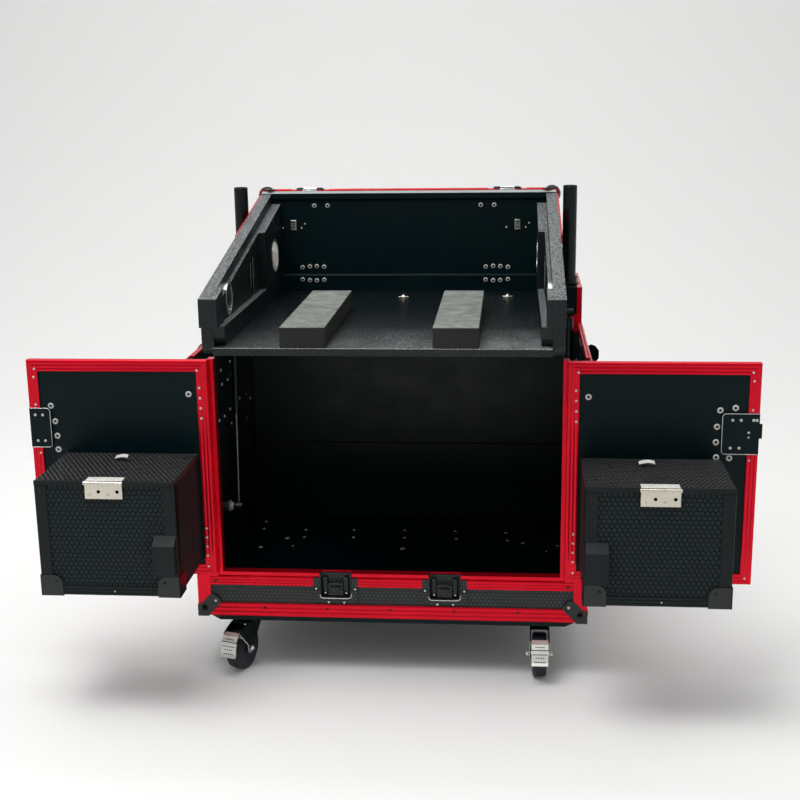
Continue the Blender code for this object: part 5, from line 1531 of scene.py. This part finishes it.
def studio_paper():
    """Matt pale paper, a shade lighter to the camera than to the object it lights."""
    material, tree, shader = new_material("studio_paper", 0.9, Specular_IOR_Level=0.1)
    point = add_node(tree, "TexCoord", output="Object")
    # Clouds 1.7 m wide
    cloud = add_node(tree, "TexNoise", {"Vector": point, "Scale": 0.6, "Detail": 4.0})
    lit = add_node(tree, "Mix", {0: cloud, 6: linear("#E7E7E7"), 7: linear("#EBEBEA")}, 2,
                   data_type="RGBA")
    seen = add_node(tree, "LightPath", output="Is Camera Ray")
    shown = add_node(tree, "Mix", {0: seen, 6: lit, 7: linear("#EEEEED")}, 2, data_type="RGBA")
    tree.links.new(shown, shader.inputs["Base Color"])
    shader.inputs["Emission Color"].default_value = linear("#FFFFFE")
    glow = add_node(tree, "Math", {0: seen, 1: 0.012}, operation="MULTIPLY")
    tree.links.new(glow, shader.inputs["Emission Strength"])
    return material


def make_floor():
    """Sweep that rises behind the object: flat floor, quarter-round cove and wall."""
    near, cove, radius, height, wide, steps = -9.0, 2.2, 2.5, 9.0, 10.0, 12
    rows = [(near, 0.0), (cove, 0.0)]
    for k in range(1, steps + 1):
        angle = math.pi / 2 * k / steps
        rows.append((cove + radius * math.sin(angle), radius - radius * math.cos(angle)))
    rows.append((cove + radius, height))
    points = [(x, y, z) for y, z in rows for x in (-wide, wide)]
    faces = [(2 * k, 2 * k + 1, 2 * k + 3, 2 * k + 2) for k in range(len(rows) - 1)]
    mesh = bpy.data.meshes.new("studio_sweep")
    mesh.from_pydata(points, [], faces)
    mesh.shade_smooth()
    mesh.materials.append(studio_paper())
    floor = bpy.data.objects.new("studio_sweep", mesh)
    bpy.context.scene.collection.objects.link(floor)


def make_stage(settings):
    """Floor, world, key light from the upper left, a light on the backdrop, and the camera."""
    bpy.context.scene.view_settings.view_transform = "Standard"
    make_floor()
    make_world(settings)
    make_light("key", (-1.25, -1.2, 5.4), (0.0, 0.2, 0.6), (3.0, 3.0), settings.key)
    make_light("backdrop", (0.0, 1.4, 4.6), (0.0, 4.7, 1.4), (5.0, 0.6), settings.key * 0.19)
    make_camera(settings)


# Operators

class CaseOperator:
    """What all the steps share"""
    bl_options = {"REGISTER", "UNDO"}


class CASE_OT_looks(CaseOperator, bpy.types.Operator):
    """Make the materials and give them to the solids"""
    bl_idname = "case.looks"
    bl_label = "Materials"

    def execute(self, context):
        make_looks(context.scene.case_materials)
        return {"FINISHED"}


class CASE_OT_extrusions(CaseOperator, bpy.types.Operator):
    """Lay ribbed faces over the cabinet's and the doors' edge extrusions"""
    bl_idname = "case.extrusions"
    bl_label = "Extrusion faces"

    def execute(self, context):
        settings = context.scene.case_extrusion
        make_base_ribs(settings)
        make_top_ribs(settings)
        make_opening_ribs(settings)
        make_door_ribs(settings)
        return {"FINISHED"}


class CASE_OT_shell(CaseOperator, bpy.types.Operator):
    """Lay ribbed faces and latch straps over the console tray's rear shell"""
    bl_idname = "case.shell"
    bl_label = "Tray shell"

    def execute(self, context):
        make_shell_ribs(context.scene.case_extrusion)
        make_shell_straps()
        return {"FINISHED"}


class CASE_OT_fasteners(CaseOperator, bpy.types.Operator):
    """Set the rivets and screws on the outside of the cabinet"""
    bl_idname = "case.fasteners"
    bl_label = "Cabinet fasteners"

    def execute(self, context):
        settings = context.scene.case_fastener
        make_frame_rivets(settings)
        make_corner_heads(settings)
        return {"FINISHED"}


class CASE_OT_catches(CaseOperator, bpy.types.Operator):
    """Detail the two catches in the sill"""
    bl_idname = "case.catches"
    bl_label = "Sill catches"

    def execute(self, context):
        make_sill_catches()
        return {"FINISHED"}


class CASE_OT_inside(CaseOperator, bpy.types.Operator):
    """Set the bolts, stays and spring seats inside the cabinet"""
    bl_idname = "case.inside"
    bl_label = "Cabinet inside"

    def execute(self, context):
        make_cabinet_inside(context.scene.case_fastener)
        return {"FINISHED"}


class CASE_OT_doors(CaseOperator, bpy.types.Operator):
    """Set the fasteners and the lock rims of the doors"""
    bl_idname = "case.doors"
    bl_label = "Door hardware"

    def execute(self, context):
        make_door_hardware(context.scene.case_fastener)
        return {"FINISHED"}


class CASE_OT_boxes(CaseOperator, bpy.types.Operator):
    """Dress the storage boxes and their lids"""
    bl_idname = "case.boxes"
    bl_label = "Storage boxes"

    def execute(self, context):
        make_boxes(context.scene.case_fastener, context.scene.case_extrusion)
        return {"FINISHED"}


class CASE_OT_console(CaseOperator, bpy.types.Operator):
    """Dress the inside of the console tray"""
    bl_idname = "case.console"
    bl_label = "Console tray"

    def execute(self, context):
        settings = context.scene.case_fastener
        make_console_fittings(settings)
        make_console_edges()
        return {"FINISHED"}


class CASE_OT_foam(CaseOperator, bpy.types.Operator):
    """Lay the foam strips on the console tray"""
    bl_idname = "case.foam"
    bl_label = "Foam strips"

    def execute(self, context):
        make_foam_blocks()
        return {"FINISHED"}


class CASE_OT_castors(CaseOperator, bpy.types.Operator):
    """Dress the castors and their brake pedals"""
    bl_idname = "case.castors"
    bl_label = "Castors"

    def execute(self, context):
        make_castors()
        return {"FINISHED"}


class CASE_OT_stage(CaseOperator, bpy.types.Operator):
    """Set up the floor, the lights and the camera"""
    bl_idname = "case.stage"
    bl_label = "Studio"

    def execute(self, context):
        make_stage(context.scene.case_stage)
        return {"FINISHED"}


OPERATORS = (CASE_OT_looks, CASE_OT_extrusions, CASE_OT_shell, CASE_OT_fasteners, CASE_OT_catches,
             CASE_OT_inside, CASE_OT_doors, CASE_OT_boxes, CASE_OT_console, CASE_OT_foam,
             CASE_OT_castors, CASE_OT_stage)


class CASE_PT_panel(bpy.types.Panel):
    """Lists the settings and the steps"""
    bl_label = "Flight case"
    bl_idname = "CASE_PT_panel"
    bl_space_type = "VIEW_3D"
    bl_region_type = "UI"
    bl_category = "Flight case"

    def draw(self, context):
        for name, group in GROUPS.items():
            box = self.layout.box()
            for key in group.__annotations__:
                box.prop(getattr(context.scene, name), key)
        for operator in OPERATORS:
            self.layout.operator(operator.bl_idname)


def register():
    """Register the settings, the operators and the panel."""
    for group in GROUPS.values():
        bpy.utils.register_class(group)
    for operator in OPERATORS + (CASE_PT_panel,):
        bpy.utils.register_class(operator)
    for name, group in GROUPS.items():
        setattr(bpy.types.Scene, name, PointerProperty(type=group))


def unregister():
    """Take everything back in the opposite order."""
    for name in GROUPS:
        delattr(bpy.types.Scene, name)
    for operator in (CASE_PT_panel,) + OPERATORS[::-1]:
        bpy.utils.unregister_class(operator)
    for group in GROUPS.values():
        bpy.utils.unregister_class(group)


def main():
    """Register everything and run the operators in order."""
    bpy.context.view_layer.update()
    register()
    for operator in OPERATORS:
        group, name = operator.bl_idname.split(".")
        getattr(getattr(bpy.ops, group), name)()


if __name__ == "__main__":
    main()
